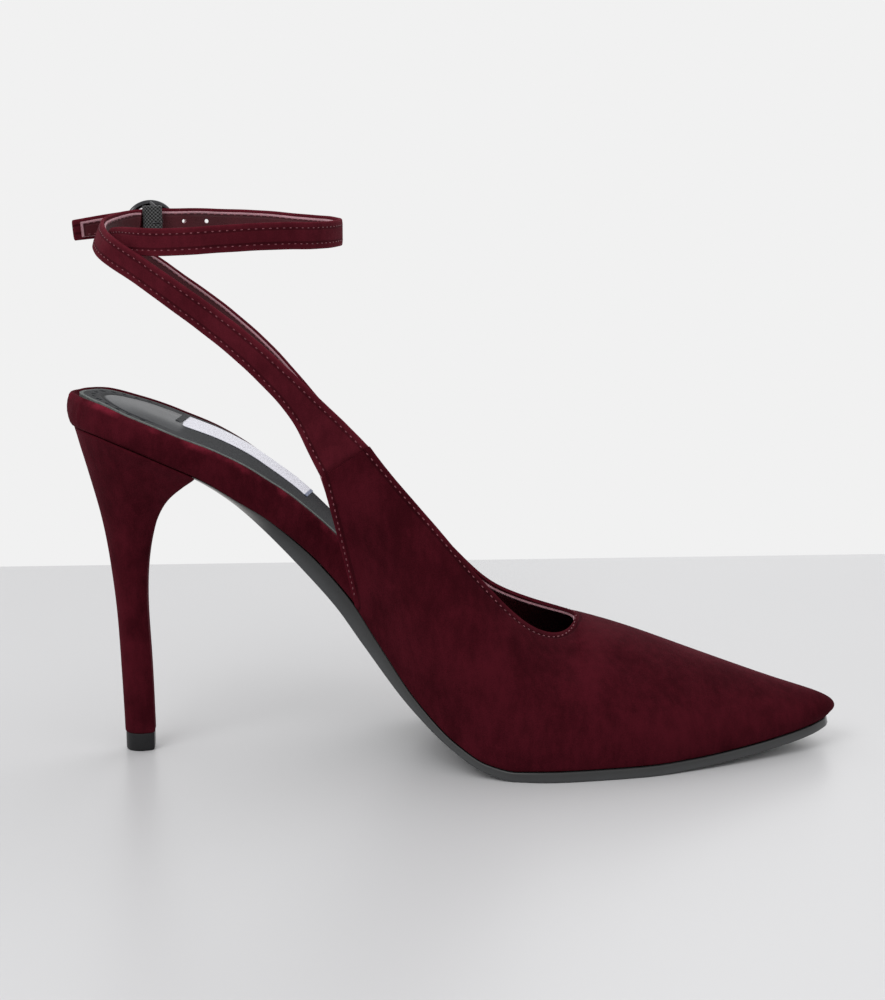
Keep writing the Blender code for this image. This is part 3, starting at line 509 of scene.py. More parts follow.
def bottom_at(step):
    """Sole line at rows of BOTTOM: millimetre sizes and the unit normal that points up into the shoe."""
    line = BOTTOM(step)
    reach = 0.02
    before, after = BOTTOM(np.asarray(step) - reach), BOTTOM(np.asarray(step) + reach)
    run = (after["along"] - before["along"]) * LENGTH
    climb = (after["up"] - before["up"]) * HEEL_HEIGHT
    size = np.hypot(run, climb)
    line["x"] = line["along"] * LENGTH / 100.0
    line["z"] = line["up"] * HEEL_HEIGHT / 100.0
    line["inner"] = line["inner"] * BALL_WIDTH / 100.0
    line["outer"] = line["outer"] * BALL_WIDTH / 100.0
    line["normal_x"], line["normal_z"] = -climb / size, run / size
    return line


def step_at(along):
    """Row number of BOTTOM at a percent of LENGTH."""
    steps = np.linspace(0.0, BOTTOM.last, LOOKUP_POINTS)
    return np.interp(along, BOTTOM(steps)["along"], steps)


def over_sole(line, across, height):
    """Points at a height over the sole line along its normal, and across from the shoe's middle."""
    x, z, lean, rise = (line[name][:, None] for name in ("x", "z", "normal_x", "normal_z"))
    return np.stack(np.broadcast_arrays(x + height * lean, across, z + height * rise), axis=-1)


def layer_plan(steps, back=0.0, toe=0.0):
    """Outline of a layer, drawn in at the back and the toe: its middle, its half width and its sole line."""
    plan = bottom_at(steps)
    along = (back + plan["x"] * (LENGTH - back - toe) / LENGTH) * 100.0 / LENGTH
    line = bottom_at(step_at(along))
    return plan, line, (plan["outer"] - plan["inner"]) / 2.0, (plan["outer"] + plan["inner"]) / 2.0


def inset_half(half, inset):
    """Half width drawn in by an inset that tapers away where the layer is narrow."""
    return half - inset * np.clip(half / NARROW_END, 0.0, 1.0)


RAW_SOLE = (42.0, 60.0)  # where the sole's pale leather at the heel's breast turns dark, along the shoe
SOLE_ROWS = 150
TOE_ROWS = 40            # rows that crowd towards the tip
TOE_CROWD = (1.2, 0.004)        # rows of BOTTOM before the tip where they start and end
SOLE_ROUND = 0.55        # round of the sole's edges
ROUND_SHARE = 0.4        # the most of a thin or narrow layer that its round takes


def sole_piece(material):
    """Outsole: a flat band across each row of the sole line, its edge bevelled in under the waist."""
    near_toe = BOTTOM.last - np.geomspace(*TOE_CROWD, TOE_ROWS)
    steps = np.linspace(BREAST_ROW - BREAST_TUCK, near_toe[0], SOLE_ROWS)
    steps = np.concatenate([steps[:-1], near_toe])
    plan, line, middle, half = layer_plan(steps)
    low_half = inset_half(half, plan["tuck"] * EDGE_BEVEL)
    top_half = inset_half(half, plan["tuck"])
    ring = section_ring(turns=5, over=11, under=23)
    radius = np.minimum(SOLE_ROUND, np.minimum(half, plan["sole"]) * ROUND_SHARE)
    across, height = band_section(ring, low_half, 0.0, plan["sole"], radius)
    # height share up the edge: it shapes the bevel, and the sole's material paints shade at the top and a
    # floor reflection low down by it
    share = np.clip(height / plan["sole"][:, None], 0.0, 1.0)
    across = across + ring["side"] * share * (top_half - low_half)[:, None]
    points = over_sole(line, middle[:, None] + across, height)
    faces = tube_faces(len(steps), len(ring["side"]))
    raw = np.broadcast_to(1.0 - ease(line["x"], *RAW_SOLE)[:, None], share.shape)
    return put("outsole_leather", "sole_leather", points, faces, [material], {"share": share, "raw": raw})


# Rim of the seat and waist

RIM_END = 14.5           # row of BOTTOM where the rim ends, hidden inside the upper
RIM_IN = 7.0             # how far the rim reaches in under the sock
RIM_BULGE = 0.35
RIM_ROWS = 520
RIM_SMOOTH = 40          # passes that smooth the rim's path
# Profile of the rim.  out: millimetres from the feather line.  up: percent from its foot to its lip.
# lift: millimetres added to that.
RIM_PROFILE = np.array((
    (-RIM_IN, 0.0, 0.0), (-4.0, 0.0, 0.0), (-1.0, 0.0, 0.0), (-0.35, 0.0, 0.18), (0.0, 0.0, 0.75),
    (RIM_BULGE * 0.7, 22.0, 0.0), (RIM_BULGE, 42.0, 0.0), (RIM_BULGE * 0.9, 60.0, 0.0), (0.1, 78.0, 0.0),
    (-0.2, 100.0, -1.2), (-0.6, 100.0, -0.5), (-1.15, 100.0, -0.1), (-1.7, 100.0, 0.0), (-2.2, 100.0, -0.2),
    (-2.6, 100.0, -0.7), (-3.2, 100.0, -1.5), (-4.4, 100.0, -1.8), (-RIM_IN, 100.0, -1.8),
))
# Small folds where the suede is drawn round the seat.  at: row of BOTTOM, signed by side.  wide: rows.
# high: millimetres.  slant: rows from foot to lip.
RIM_FOLDS = np.array((
    (-7.8, 0.10, -0.24, 0.25), (-6.9, 0.10, 0.34, 0.25), (-6.3, 0.08, -0.26, 0.20),
    (-5.4, 0.12, 0.32, -0.15), (-5.1, 0.07, -0.28, -0.20), (-4.2, 0.10, 0.24, 0.10),
    (-3.4, 0.12, -0.22, 0.10), (-2.3, 0.10, 0.20, 0.05), (2.6, 0.12, 0.15, -0.10),
    (3.9, 0.10, -0.14, 0.12), (5.2, 0.10, 0.18, 0.20), (6.4, 0.09, -0.16, -0.20), (7.3, 0.12, 0.16, -0.22),
))
FOLD_DEPTH = 2.4         # how far in from the feather line the folds and the lean die out
FOLD_RISE = (0.2, 1.6)   # heights over the foot where the folds come in
RIM_LEAN = 0.6           # how far the rim's top leans in over the back of the seat
LEAN_RISE = (35.0, 100.0)       # percent of the rim's height where that lean comes in
LEAN_SPAN = (1.2, 4.0)   # rows of BOTTOM, each side, over which it dies out
LIP_LOWER = 0.8          # share of the lip's rise that is lost where the upper hides it
LIP_LOWER_SPAN = (9.5, 12.0)    # rows of BOTTOM over which it is lost
LIP_HIGHLIGHT_BAND = 0.9           # middle and width of the band on the lip with a painted highlight, in from the feather line
CREST_FOOT = 2.6         # how far in from the feather line the higher lip starts
CREST_SLOPE = 0.4        # and how far out from there it has its full height
OUTER_LIP = 0.8          # how much higher the lip stands along the outer side of the seat
OUTER_LIP_UP = (0.0, 4.6)       # rows of BOTTOM, signed by side, where it comes up
OUTER_LIP_DOWN = (5.2, 7.8)     # and where it goes down


def rim_path(count):
    """Edge of the footbed from the inner ball round the back of the seat to the outer ball."""
    place = np.linspace(-RIM_END, RIM_END, count)
    line = bottom_at(np.abs(place))
    half = np.where(place < 0, line["inner"], line["outer"])
    across = np.sign(place) * inset_half(half, line["cover"])
    path = soften(np.stack([line["x"], across, line["z"]], axis=-1), RIM_SMOOTH)
    up = soften(np.stack([line["normal_x"], 0.0 * half, line["normal_z"]], axis=-1), RIM_SMOOTH)
    return place, line, path, unit(up)


def rim_piece(material):
    """Footbed's rim: RIM_PROFILE carried along its path, out square to it and up along the sole's normal."""
    place, line, path, up = rim_path(RIM_ROWS)
    out = unit(np.cross(up, np.gradient(path, axis=0)))
    out *= np.sign(out[:, 1:2] * np.sign(place)[:, None] - out[:, :1] * (np.abs(place) < 2)[:, None])
    foot = line["sole"] + GAP
    lip_rise = LIP_RISE * (1.0 - LIP_LOWER * ease(np.abs(place), *LIP_LOWER_SPAN))
    lip = line["sole"] + line["bed"] + lip_rise
    offset, share, lift = RIM_PROFILE.T
    crest = OUTER_LIP * ease(place, *OUTER_LIP_UP) * (1.0 - ease(place, *OUTER_LIP_DOWN))
    on_crest = np.clip((offset + CREST_FOOT) / CREST_SLOPE, 0.0, 1.0) * (share == 100.0)
    height = foot[:, None] + (lip - foot)[:, None] * share / 100.0 + lift + crest[:, None] * on_crest
    at, wide, high, slant = RIM_FOLDS.T
    lean = place[:, None, None] - at - slant * (share[None, :, None] / 100.0 - 0.5)
    fold = np.sum(high * bell(lean / wide), axis=-1)
    outside = np.clip((offset + FOLD_DEPTH) / FOLD_DEPTH, 0.0, 1.0)
    fold = fold * outside * ease(height - foot[:, None], *FOLD_RISE)
    inward = RIM_LEAN * outside * ease(share, *LEAN_RISE)
    # painted highlight: a band on the lip's top that the suede's material lights up in patches
    lip_painted_highlight = np.broadcast_to(bell((offset + LIP_HIGHLIGHT_BAND) / LIP_HIGHLIGHT_BAND) * (share == 100.0), height.shape)
    offset = offset + fold - inward * (1.0 - ease(np.abs(place), *LEAN_SPAN))[:, None]
    points = path[:, None] + out[:, None] * offset[..., None] + up[:, None] * height[..., None]
    return put("footbed_rim", "suede", points, tube_faces(*height.shape), [material], {"lip_painted_highlight": lip_painted_highlight})


# Sock, pad and label

SOCK_PROUD = 0.25        # how far the sock stands over the rim's lip
SOCK_BORDER = (0.5, 0.8)        # from the sock's cut edge, where the pale border on its top dies out
SEAT_MIDDLE = 24.0       # middle of the round back of the sock
SEAT_ROUND = 21.6        # radius of that round
PAD_INSET = 5.3          # edge of the sock to the pad's line
PAD_RISE = 0.6
PAD_SPREAD = (-0.2, 11.0)       # in from its line, where the pad starts and stops rising
PAD_GLOSS_AND_HIGHLIGHT_SPAN = (-17.0, 3.0)       # across the sock, where the pad's gloss and its painted highlight come up towards the outer side
PAD_INNER_GLOSS_AND_HIGHLIGHT = 0.3           # share of that gloss and painted highlight left on the pad's inner side
PAD_FRONT = 30.8         # front end of the pad
PAD_FRONT_SLOPE = 2.5    # length of its front slope
PAD_EDGE = 1.0           # width over which the pad's gloss and painted highlight start inside its line
PAD_LINE_WIDE = 0.42     # pressed line round the pad: half width, depth, and where it dies out
PAD_LINE_DEEP = 0.38
PAD_LINE_END = (19.0, 27.0)
PAD_LINE_DARK = 0.5      # how dark the line's painted shade is against a perforation's
PERFORATION_INSET = 3.2
PERFORATION_ANGLES = np.radians(np.arange(-76.0, 77.0, 12.6))
PERFORATION_WALL = (0.3025, 0.6875)     # from a hole's middle to the foot and the top of its wall
PERFORATION_DEEP = 0.7
SOCK_ROUND = 0.2         # round of the sock's edges
SOCK_ROWS = (150, 120)   # rows of the heel, where the relief is, and of the rest
SOCK_HEEL_END = 5.4      # row of BOTTOM between the two
SOCK_ENDS = (0.004, 0.01)       # rows of BOTTOM left out at the back and the toe, where the width is nothing
SOCK_TOE = 0.5           # how far the sock stops short of the bed
SOCK_WIDEN = (8.8, 11.0)        # rows of BOTTOM over which the sock widens to meet the upper
SOCK_OVER = 0.2          # how far it then reaches past the footbed's edge
LABEL_SPAN = (32.6, 69.8)
LABEL_SIDES = (-6.3, 12.7)
LABEL_TURN = 0.11        # slope of the label against the sock's middle, its back end turned outwards
LABEL_ROWS = 90
LABEL_THICK = 0.28
LABEL_LIFT = 0.04        # over the sock
LABEL_ROUND = 0.1
LABEL_FOLD = 0.7         # length of the label's folded front end
TAB_SPAN = (30.9, 32.7)
TAB_ROWS = 14
TAB_THICK = 0.55
TAB_LIFT = 0.02
TAB_ROUND = 0.22
TAB_BEAD = 0.35          # how far the tab is rounded up along its middle
# Arch of the sock across the waist: height, and the spans where it comes up and goes down
DOME_RISE = 1.25
DOME_BACK = (26.0, 52.0)
DOME_FRONT = (75.0, 110.0)


def sock_height(line):
    """Top of the sock over the sole line."""
    return line["sole"] + line["bed"] + LIP_RISE + SOCK_PROUD


def sock_dome(x, across, half):
    """Arch of the sock: highest along its middle, a parabola across, nothing at its edges."""
    high = DOME_RISE * ease(x, *DOME_BACK) * (1.0 - ease(x, *DOME_FRONT))
    return high * (1.0 - np.square(np.clip(across / half, -1.0, 1.0)))


def sock_relief(x, across, half):
    """Pressed shape of the heel: a raised pad with a line round it, and a round of small perforations; with
    it the marks of painted shade in the holes and the line, and of the pad's gloss with its painted
    highlight.
    """
    back = SEAT_ROUND - np.hypot(x - SEAT_MIDDLE, across)
    inset = np.where(x < SEAT_MIDDLE, back, half - np.abs(across))
    front = 1.0 - ease(x, PAD_FRONT - PAD_FRONT_SLOPE, PAD_FRONT)
    line = bell((inset - PAD_INSET) / PAD_LINE_WIDE) * (1.0 - ease(x, *PAD_LINE_END))
    relief = PAD_RISE * ease(inset - PAD_INSET, *PAD_SPREAD) * front - PAD_LINE_DEEP * line
    ring = SEAT_ROUND - PERFORATION_INSET
    hole_x = SEAT_MIDDLE - ring * np.cos(PERFORATION_ANGLES)
    hole_y = ring * np.sin(PERFORATION_ANGLES)
    gap = np.hypot(x[..., None] - hole_x, across[..., None] - hole_y)
    holes = np.max(1.0 - ease(gap, *PERFORATION_WALL), axis=-1)
    # painted shade: the holes and the pressed line are darkened in the colour as well as sunk a little
    dark = np.maximum(holes, PAD_LINE_DARK * line)
    # painted highlight: the pad is marked paler and glossier towards the sock's outer side, where light
    # catches it
    gloss_and_painted_highlight_across = PAD_INNER_GLOSS_AND_HIGHLIGHT + (1.0 - PAD_INNER_GLOSS_AND_HIGHLIGHT) * ease(across, *PAD_GLOSS_AND_HIGHLIGHT_SPAN)
    gloss = ease(inset, PAD_INSET, PAD_INSET + PAD_EDGE) * front * gloss_and_painted_highlight_across
    return relief - PERFORATION_DEEP * holes, dark, gloss


def sock_piece(materials):
    """Sock of thin leather: a flat band across each row, with the heel's relief pressed into its top."""
    heel = np.linspace(SOCK_ENDS[0], SOCK_HEEL_END, SOCK_ROWS[0])
    rest = np.linspace(SOCK_HEEL_END, BOTTOM.last - SOCK_ENDS[1], SOCK_ROWS[1])
    steps = np.concatenate([heel, rest[1:]])
    plan, line, middle, half = layer_plan(steps, SOCK_MARGIN, BED_TOE + SOCK_TOE)
    margin = SOCK_MARGIN - (SOCK_MARGIN + SOCK_OVER) * ease(steps, *SOCK_WIDEN)
    half = inset_half(half, plan["cover"] + margin)
    top = sock_height(line)
    ring = section_ring(turns=4, over=81, under=5)
    radius = np.minimum(SOCK_ROUND, half * ROUND_SHARE)
    across, height = band_section(ring, half, top - SOCK_THICK, top, radius)
    upper = ring["flat"] == 1
    x = np.broadcast_to(line["x"][:, None], across.shape)
    relief, holes, pad = sock_relief(x, across, half[:, None])
    height = height + (relief + sock_dome(x, across, half[:, None])) * upper
    points = over_sole(line, middle[:, None] + across, height)
    sides = [np.stack([line["x"], side * half, 0.0 * half], axis=-1) for side in (-1.0, 1.0)]
    edges = np.concatenate(sides)
    gap = edge_distance(np.stack([x, across, 0.0 * x], axis=-1), edges)
    border = 1.0 - ease(gap, *SOCK_BORDER)
    # hole carries painted shade of the perforations and the pad's line; pad, the pad's gloss and painted
    # highlight
    marks = {"hole": holes * upper, "pad": pad * upper, "border": border}
    return put("sock", "sock_leather", points, tube_faces(len(steps), len(upper)), materials, marks,
               edge_slots(ring, len(steps)), weld=True)


def on_sock(span, sides, rows, thick, lift, ring, radius):
    """Flat band laid on the sock: rows along the span, its ring across between the two sides at the label's
    front, the whole turned by LABEL_TURN, and each point lifted off the sock right under it."""
    steps = np.linspace(0.0, BOTTOM.last, LOOKUP_POINTS)
    line = bottom_at(steps)
    top_x = line["x"] + sock_height(line) * line["normal_x"]
    half = np.full(rows, (sides[1] - sides[0]) / 2.0)
    half[[0, -1]] -= radius
    across, height = band_section(ring, half, 0.0, thick, radius)
    row = np.linspace(*span, rows)[:, None]
    along = row + LABEL_TURN * (across - across.min())
    side = (sum(sides) / 2.0 + across + LABEL_TURN * (LABEL_SPAN[1] - row)).reshape(-1, 1)
    line = bottom_at(np.interp(along.ravel(), top_x, steps))
    middle = (line["outer"] - line["inner"])[:, None] / 2.0
    sock_half = (line["outer"] + line["inner"])[:, None] / 2.0 - SOCK_MARGIN
    dome = sock_dome(line["x"][:, None], side - middle, sock_half)
    height = np.broadcast_to(height, across.shape).reshape(-1, 1)
    height = height + sock_height(line)[:, None] + lift + dome
    return over_sole(line, side, height).reshape(*across.shape, 3), across


def label_piece(material):
    """Blank woven label laid on the sock; its marks run along and across it in millimetres."""
    ring = section_ring(turns=3, over=25, under=3)
    points, across = on_sock(LABEL_SPAN, LABEL_SIDES, LABEL_ROWS, LABEL_THICK, LABEL_LIFT, ring, LABEL_ROUND)
    along = np.broadcast_to(np.linspace(*LABEL_SPAN, LABEL_ROWS)[:, None], across.shape)
    faces = tube_faces(*across.shape)
    item = put("label", "sock_leather", points, faces, [material], {"along": along, "across": across})
    return item


def tab_piece(material):
    """Narrow leather tab that holds the label's back end under the pad."""
    ring = section_ring(turns=4, over=25, under=3)
    points, across = on_sock(TAB_SPAN, LABEL_SIDES, TAB_ROWS, TAB_THICK, TAB_LIFT, ring, TAB_ROUND)
    bead = np.sin(np.linspace(0.0, math.pi, TAB_ROWS))[:, None] * TAB_BEAD * (ring["flat"] == 1)
    points[..., 2] += bead
    return put("label_tab", "sock_leather", points, tube_faces(*across.shape), [material])


# Heel

HEEL_SMOOTH = 10         # passes that round the corners of the breast
HEEL_SIDE = 44           # points of a section on each side, and across the breast
HEEL_BREAST = 20
HEEL_ROWS = 150
HEEL_SPAN = (0.1, 0.06)  # where those even rows start and end, from the two ends of HEEL
HEEL_TOP = (0.0, 0.02, 0.05)    # rows that crowd at the seat
HEEL_FOOT = (0.03, 0.012, 0.0)  # and before the tip
SEAT_BLEND = 1.3         # rows of HEEL over which its top takes on the seat's curve
SEAT_SEAM = (0.5, 0.035)        # how far the cover is drawn in at the seat, and over how many rows
TIP_SEAM = (0.35, 0.02)         # the same at the top piece


def seat_underside(x):
    """Height of the footbed's underside over the heel."""
    line = bottom_at(np.linspace(0.0, BREAST_ROW + 1.0, LOOKUP_POINTS))
    height = line["sole"] + GAP
    return np.interp(x, line["x"] + height * line["normal_x"], line["z"] + height * line["normal_z"])


def heel_rings(steps):
    """Sections of the heel: round back, sides that draw in to the breast, and the flat breast.

    Half width is a quarter ellipse from the back to the full section, then a parabola to the breast.
    """
    row = {name: values[:, None] for name, values in HEEL(steps).items()}
    share = (1.0 - np.cos(np.linspace(0.0, math.pi, HEEL_SIDE))) / 2.0
    full, flat = row["full"] / 100.0, row["flat"] / 100.0
    round_back = np.sqrt(np.clip(1.0 - (1.0 - share / full) ** 2, 0.0, 1.0))
    to_breast = 1.0 - (1.0 - flat) * ((share - full) / (1.0 - full)) ** 2
    width = row["half"] * np.where(share < full, round_back, to_breast)
    front = np.linspace(-1.0, 1.0, HEEL_BREAST + 2)[1:-1]
    across = np.concatenate([-width, width[:, -1:] * front, width[:, ::-1]], axis=1)
    share = np.concatenate([share, np.ones(HEEL_BREAST), share[::-1]])
    x = row["back_x"] * (1.0 - share) + row["breast_x"] * share
    z = row["back_z"] * (1.0 - share) + row["breast_z"] * share + row["bow"] * 4.0 * share * (1.0 - share)
    seat = seat_underside(x[:1]) - GAP - z[:1]
    z = z + seat * (1.0 - ease(steps, 0.0, SEAT_BLEND))[:, None]
    rings = np.stack([x, across, z], axis=-1)
    return soften(rings.swapaxes(0, 1), HEEL_SMOOTH, wrap=True).swapaxes(0, 1)


def heel_piece(material):
    """Covered stiletto: the sections from seat to tip, drawn in a little at both seams."""
    even = np.linspace(HEEL_SPAN[0], HEEL.last - HEEL_SPAN[1], HEEL_ROWS)
    steps = np.concatenate([HEEL_TOP, even, HEEL.last - np.array(HEEL_FOOT)])
    rings = heel_rings(steps)
    middle = rings.mean(axis=1, keepdims=True)
    from_ends = ((SEAT_SEAM, steps), (TIP_SEAM, HEEL.last - steps))
    draw_in = sum(deep * bell(gap / wide) for (deep, wide), gap in from_ends)
    inward = unit((middle - rings) * (1.0, 1.0, 0.0))
    rings = rings + inward * draw_in[:, None, None]
    return put("heel_cover", "suede", rings, tube_faces(*rings.shape[:2]), [material], weld=True)


# Top piece.  Height in millimetres and size against the heel's end, top to floor
TIP_LEVELS = np.array(((5.62, 0.80), (5.6, 0.93), (5.45, 0.945), (5.2, 0.955), (3.0, 0.952), (1.0, 0.948),
                       (0.5, 0.94), (0.2, 0.92), (0.05, 0.89), (0.0, 0.85)))


def tip_piece(material):
    """Top piece: the heel's last section, sized down at each of TIP_LEVELS."""
    ring = heel_rings(np.array([float(HEEL.last)]))[0]
    middle = (ring.min(axis=0) + ring.max(axis=0)) / 2.0
    height, size = TIP_LEVELS.T
    rings = middle + (ring - middle) * size[:, None, None]
    rings[..., 2] = height[:, None]
    return put("heel_top_piece", "top_piece", rings, tube_faces(*rings.shape[:2]), [material], weld=True)


# Upper

VAMP_ROWS, QUARTER_ROWS, WALL_POINTS = 84, 150, 50
LOW_POINT = 5            # point of a wall's row near its foot, where the wall faces outwards
THROAT_EASE = 10.0       # rows each way over which the wall is eased at the throat
THROAT_SMOOTH = 60       # passes of that easing
SUEDE_ROUND = 0.42       # round of the upper's free edges, and of the lining's
LINING_ROUND = 0.12
LINING_START = 26        # row of the upper's grid where the lining starts, inside the toe
LINING_BLEND = 0.6       # rows of QUARTERS over which the lining's edge is drawn in behind the throat
CREASE_FADE = 0.7        # power of a crease's fading to its ends
RIDGE_HIGH = 0.4         # ridge beside a crease, against the crease's depth
RIDGE_PLACE = 1.7        # and its distance and width, against the crease's half width
RIDGE_WIDE = 0.8
EASE_POWER = 6           # power with which the easing at the throat dies out at the topline
# Soft troughs of the suede.  Two ends in millimetres, half width, depth
UPPER_CREASES = (
    ((128.0, -38.5, 24.0), (150.0, -41.0, 13.0), 3.4, 0.32),
    ((140.0, -39.0, 30.0), (163.0, -38.0, 16.0), 3.0, 0.26),
    ((121.0, 35.5, 28.0), (146.0, 37.5, 14.0), 3.2, 0.30),
    ((92.0, -31.0, 62.0), (104.0, -33.5, 84.0), 4.5, 0.34),
    ((92.0, 29.0, 55.0), (104.0, 30.5, 74.0), 4.5, 0.34),
    ((160.0, -24.0, 35.0), (176.0, -31.0, 20.0), 4.0, 0.22),
)


def feather_point(foot, side):
    """Foot of the upper's wall on the edge of the sole; side is -1 inner or +1 outer."""
    line = bottom_at(step_at(foot))
    height = line["sole"] + GAP
    edge = -line["inner"] if side < 0 else line["outer"]
    return np.stack([line["x"] + height * line["normal_x"], edge,
                     line["z"] + height * line["normal_z"]], axis=-1)


def wing_edge(start, rise, side):
    """Back edge of a wing, a curve with one pull from the feather line to the seam of its strap."""
    drop = OUTER_DROP if side > 0 else 0.0
    width = WING_END_WIDTH[0 if side < 0 else 1] * BALL_WIDTH / 100.0
    measure = np.array([LENGTH, INSTEP_HEIGHT]) / 100.0
    (end_x, end_z), (pull_x, pull_z) = WING_END * measure, WING_BEND * measure
    end = np.array([end_x, side * width, end_z - drop])
    pull_y = start[1] * (1.0 - WING_PULL) + end[1] * WING_PULL
    pull = np.array([pull_x, pull_y, pull_z - drop / 2])
    t = rise[..., None]
    return start * (1 - t) ** 2 + 2 * pull * t * (1 - t) + end * t * t


def upper_half(steps, side, points):
    """Grid of one half of the upper: each row a curve with two handles from its foot to its top."""
    vamp, quarters = VAMP(steps), QUARTERS(steps - VAMP.last)
    row = {name: np.where(steps <= VAMP.last, vamp[name], quarters[name]) for name in SECTION_COLUMNS}
    base = feather_point(row["foot"], side)
    free = steps > VAMP.last + WING_ROW
    wing_foot = feather_point(QUARTERS.values[WING_ROW, 0], side)
    base[free] = wing_edge(wing_foot, row["rise"][free] / 100.0, side)
    width = -row["top_inner"] if side < 0 else row["top_outer"]
    drop = row["drop"] * OUTER_DROP / 100.0 if side > 0 else 0.0
    top = np.stack([row["top_x"] * LENGTH / 100.0, width * BALL_WIDTH / 100.0,
                    row["top_z"] * INSTEP_HEIGHT / 100.0 - drop], axis=-1)
    chord = top - base
    reach = np.linalg.norm(chord, axis=-1, keepdims=True) * WALL_FULLNESS
    climb = unit(chord * (1.0, 0.0, 1.0))
    outward = np.array([0.0, side, 0.0])
    lean = np.radians(row["base_lean"])[:, None]
    tuck = np.radians(row["top_lean"])[:, None]
    leave = (climb * np.cos(lean) + outward * np.sin(lean)) * reach
    arrive = (outward * np.sin(tuck) - climb * np.cos(tuck)) * reach
    first, second = base + leave, top + arrive
    t = np.linspace(0.0, 1.0, points)[None, :, None]
    return (base[:, None] * (1 - t) ** 3 + 3 * first[:, None] * t * (1 - t) ** 2
            + 3 * second[:, None] * t * t * (1 - t) + top[:, None] * t ** 3)


def upper_grids():
    """Both halves of the upper's outer face, eased across the throat, and their outward normals."""
    steps = np.concatenate([np.linspace(0.0, VAMP.last, VAMP_ROWS),
                            np.linspace(VAMP.last, VAMP.last + QUARTERS.last, QUARTER_ROWS + 1)[1:]])
    near = bell((np.arange(len(steps)) - VAMP_ROWS + 1) / THROAT_EASE)[:, None, None]
    inward = 1.0 - np.linspace(0.0, 1.0, WALL_POINTS)[None, :, None] ** EASE_POWER
    grids, normals = [], []
    for side in (-1.0, 1.0):
        grid = upper_half(steps, side, WALL_POINTS)
        grid = soften(grid, THROAT_SMOOTH, near * inward)
        normal = unit(np.cross(np.gradient(grid, axis=0), np.gradient(grid, axis=1))) * side
        normal *= np.sign(np.sum(normal[:, LOW_POINT, 1]) * side)
        grids.append(grid)
        normals.append(normal)
    return steps, np.array(grids), np.array(normals)


def crease_depth(points, creases):
    """Depth of the troughs: a bell across each line with a low ridge beside it, fading out to its ends."""
    depth = np.zeros(points.shape[:-1])
    for start, end, width, deep in creases:
        start, end = np.array(start), np.array(end)
        run = end - start
        share = np.clip((points - start) @ run / (run @ run), 0.0, 1.0)
        gap = np.linalg.norm(points - start - share[..., None] * run, axis=-1) / width
        fade = np.sin(math.pi * share) ** CREASE_FADE
        ridge = RIDGE_HIGH * bell((gap - RIDGE_PLACE) / RIDGE_WIDE)
        depth += deep * fade * (bell(gap) - ridge)
    return depth


def edge_distance(points, edge):
    """Distance from each point to the nearest of an edge's points."""
    flat = points.reshape(-1, 3)
    squares = np.sum(flat ** 2, axis=1)[:, None] + np.sum(edge ** 2, axis=1) - 2.0 * flat @ edge.T
    return np.sqrt(np.clip(squares.min(axis=1), 0.0, None)).reshape(points.shape[:-1])


def close_ridge(grids, steps):
    """Let both halves share the ridge and the point of the toe."""
    ridge = steps <= VAMP.last
    grids[1, ridge, -1] = grids[0, ridge, -1]
    grids[:, 0] = grids[0, 0, 0]
    return grids


def edge_inset(steps, grids):
    """Mark that counts down from FAR_INSET to the topline and the wings' free back edges."""
    topline, free = steps >= VAMP.last, steps > VAMP.last + WING_ROW
    edge = np.concatenate([grids[:, topline, -1].reshape(-1, 3), grids[:, free, 0].reshape(-1, 3)])
    return np.clip(FAR_INSET - edge_distance(grids, edge), 0.0, None)


def both_halves(rows):
    """Quads over the two halves of a wall, stored one after the other; the second half is turned over."""
    faces = grid_faces(rows, WALL_POINTS)
    return np.concatenate([faces, faces[:, ::-1] + rows * WALL_POINTS])


def upper_piece(material, steps, grids, normals, inset):
    """Suede vamp and wings: the outer face with its creases, walled inwards."""
    shaped = grids - normals * crease_depth(grids, UPPER_CREASES)[..., None]
    shaped = close_ridge(shaped, steps)
    faces = both_halves(len(steps))
    item = put("upper_suede", "suede", shaped, faces, [material], {"inset": inset}, weld=True)
    wall(item, SUEDE_THICK, SUEDE_ROUND)
    return item


def drawn_in(grid, values, amount):
    """Values on a wall's grid read again with each row's top drawn in by its own amount of millimetres."""
    length = np.linalg.norm(np.diff(grid, axis=2), axis=-1).sum(axis=-1)
    index = np.arange(WALL_POINTS) * (1.0 - amount / np.maximum(length, 1.0))[..., None]
    before = np.minimum(index.astype(int), WALL_POINTS - 2)[..., None]
    t = index[..., None] - before
    return (np.take_along_axis(values, before, axis=2) * (1.0 - t)
            + np.take_along_axis(values, before + 1, axis=2) * t)


def lining_piece(materials, steps, grids, normals, inset):
    """Lining: the upper's face moved in by the suede's thickness, its top drawn in, its cut edge pale."""
    shaped = close_ridge(grids - normals * (SUEDE_THICK + LAYER_GAP), steps)
    amount = LINING_INSET * ease(steps, VAMP.last, VAMP.last + LINING_BLEND)
    inset = drawn_in(shaped, inset[..., None], amount)
    shaped = drawn_in(shaped, shaped, amount)[:, LINING_START:]
    faces = both_halves(len(steps) - LINING_START)
    marks = {"inset": inset[:, LINING_START:]}
    item = put("upper_lining", "suede", shaped, faces, materials, marks, weld=True)
    solid = wall(item, LINING_THICK, LINING_ROUND)
    solid.material_offset_rim = 1
    return item


def row_inset(grid, normals, rows, from_top):
    """Line on the wall at STITCH_INSET from its top or foot, with the wall's normals there."""
    line = grid[rows][:, ::-1] if from_top else grid[rows]
    facing = normals[rows][:, ::-1] if from_top else normals[rows]
    gaps = np.linalg.norm(np.diff(line, axis=1), axis=-1)
    length = np.concatenate([np.zeros((len(line), 1)), np.cumsum(gaps, axis=1)], axis=1)
    before = np.sum(length <= STITCH_INSET, axis=1) - 1
    row = np.arange(len(line))
    t = ((STITCH_INSET - length[row, before]) / gaps[row, before])[:, None]
    at = line[row, before] * (1.0 - t) + line[row, before + 1] * t
    return at, unit(facing[row, before] * (1.0 - t) + facing[row, before + 1] * t)


# Stitches

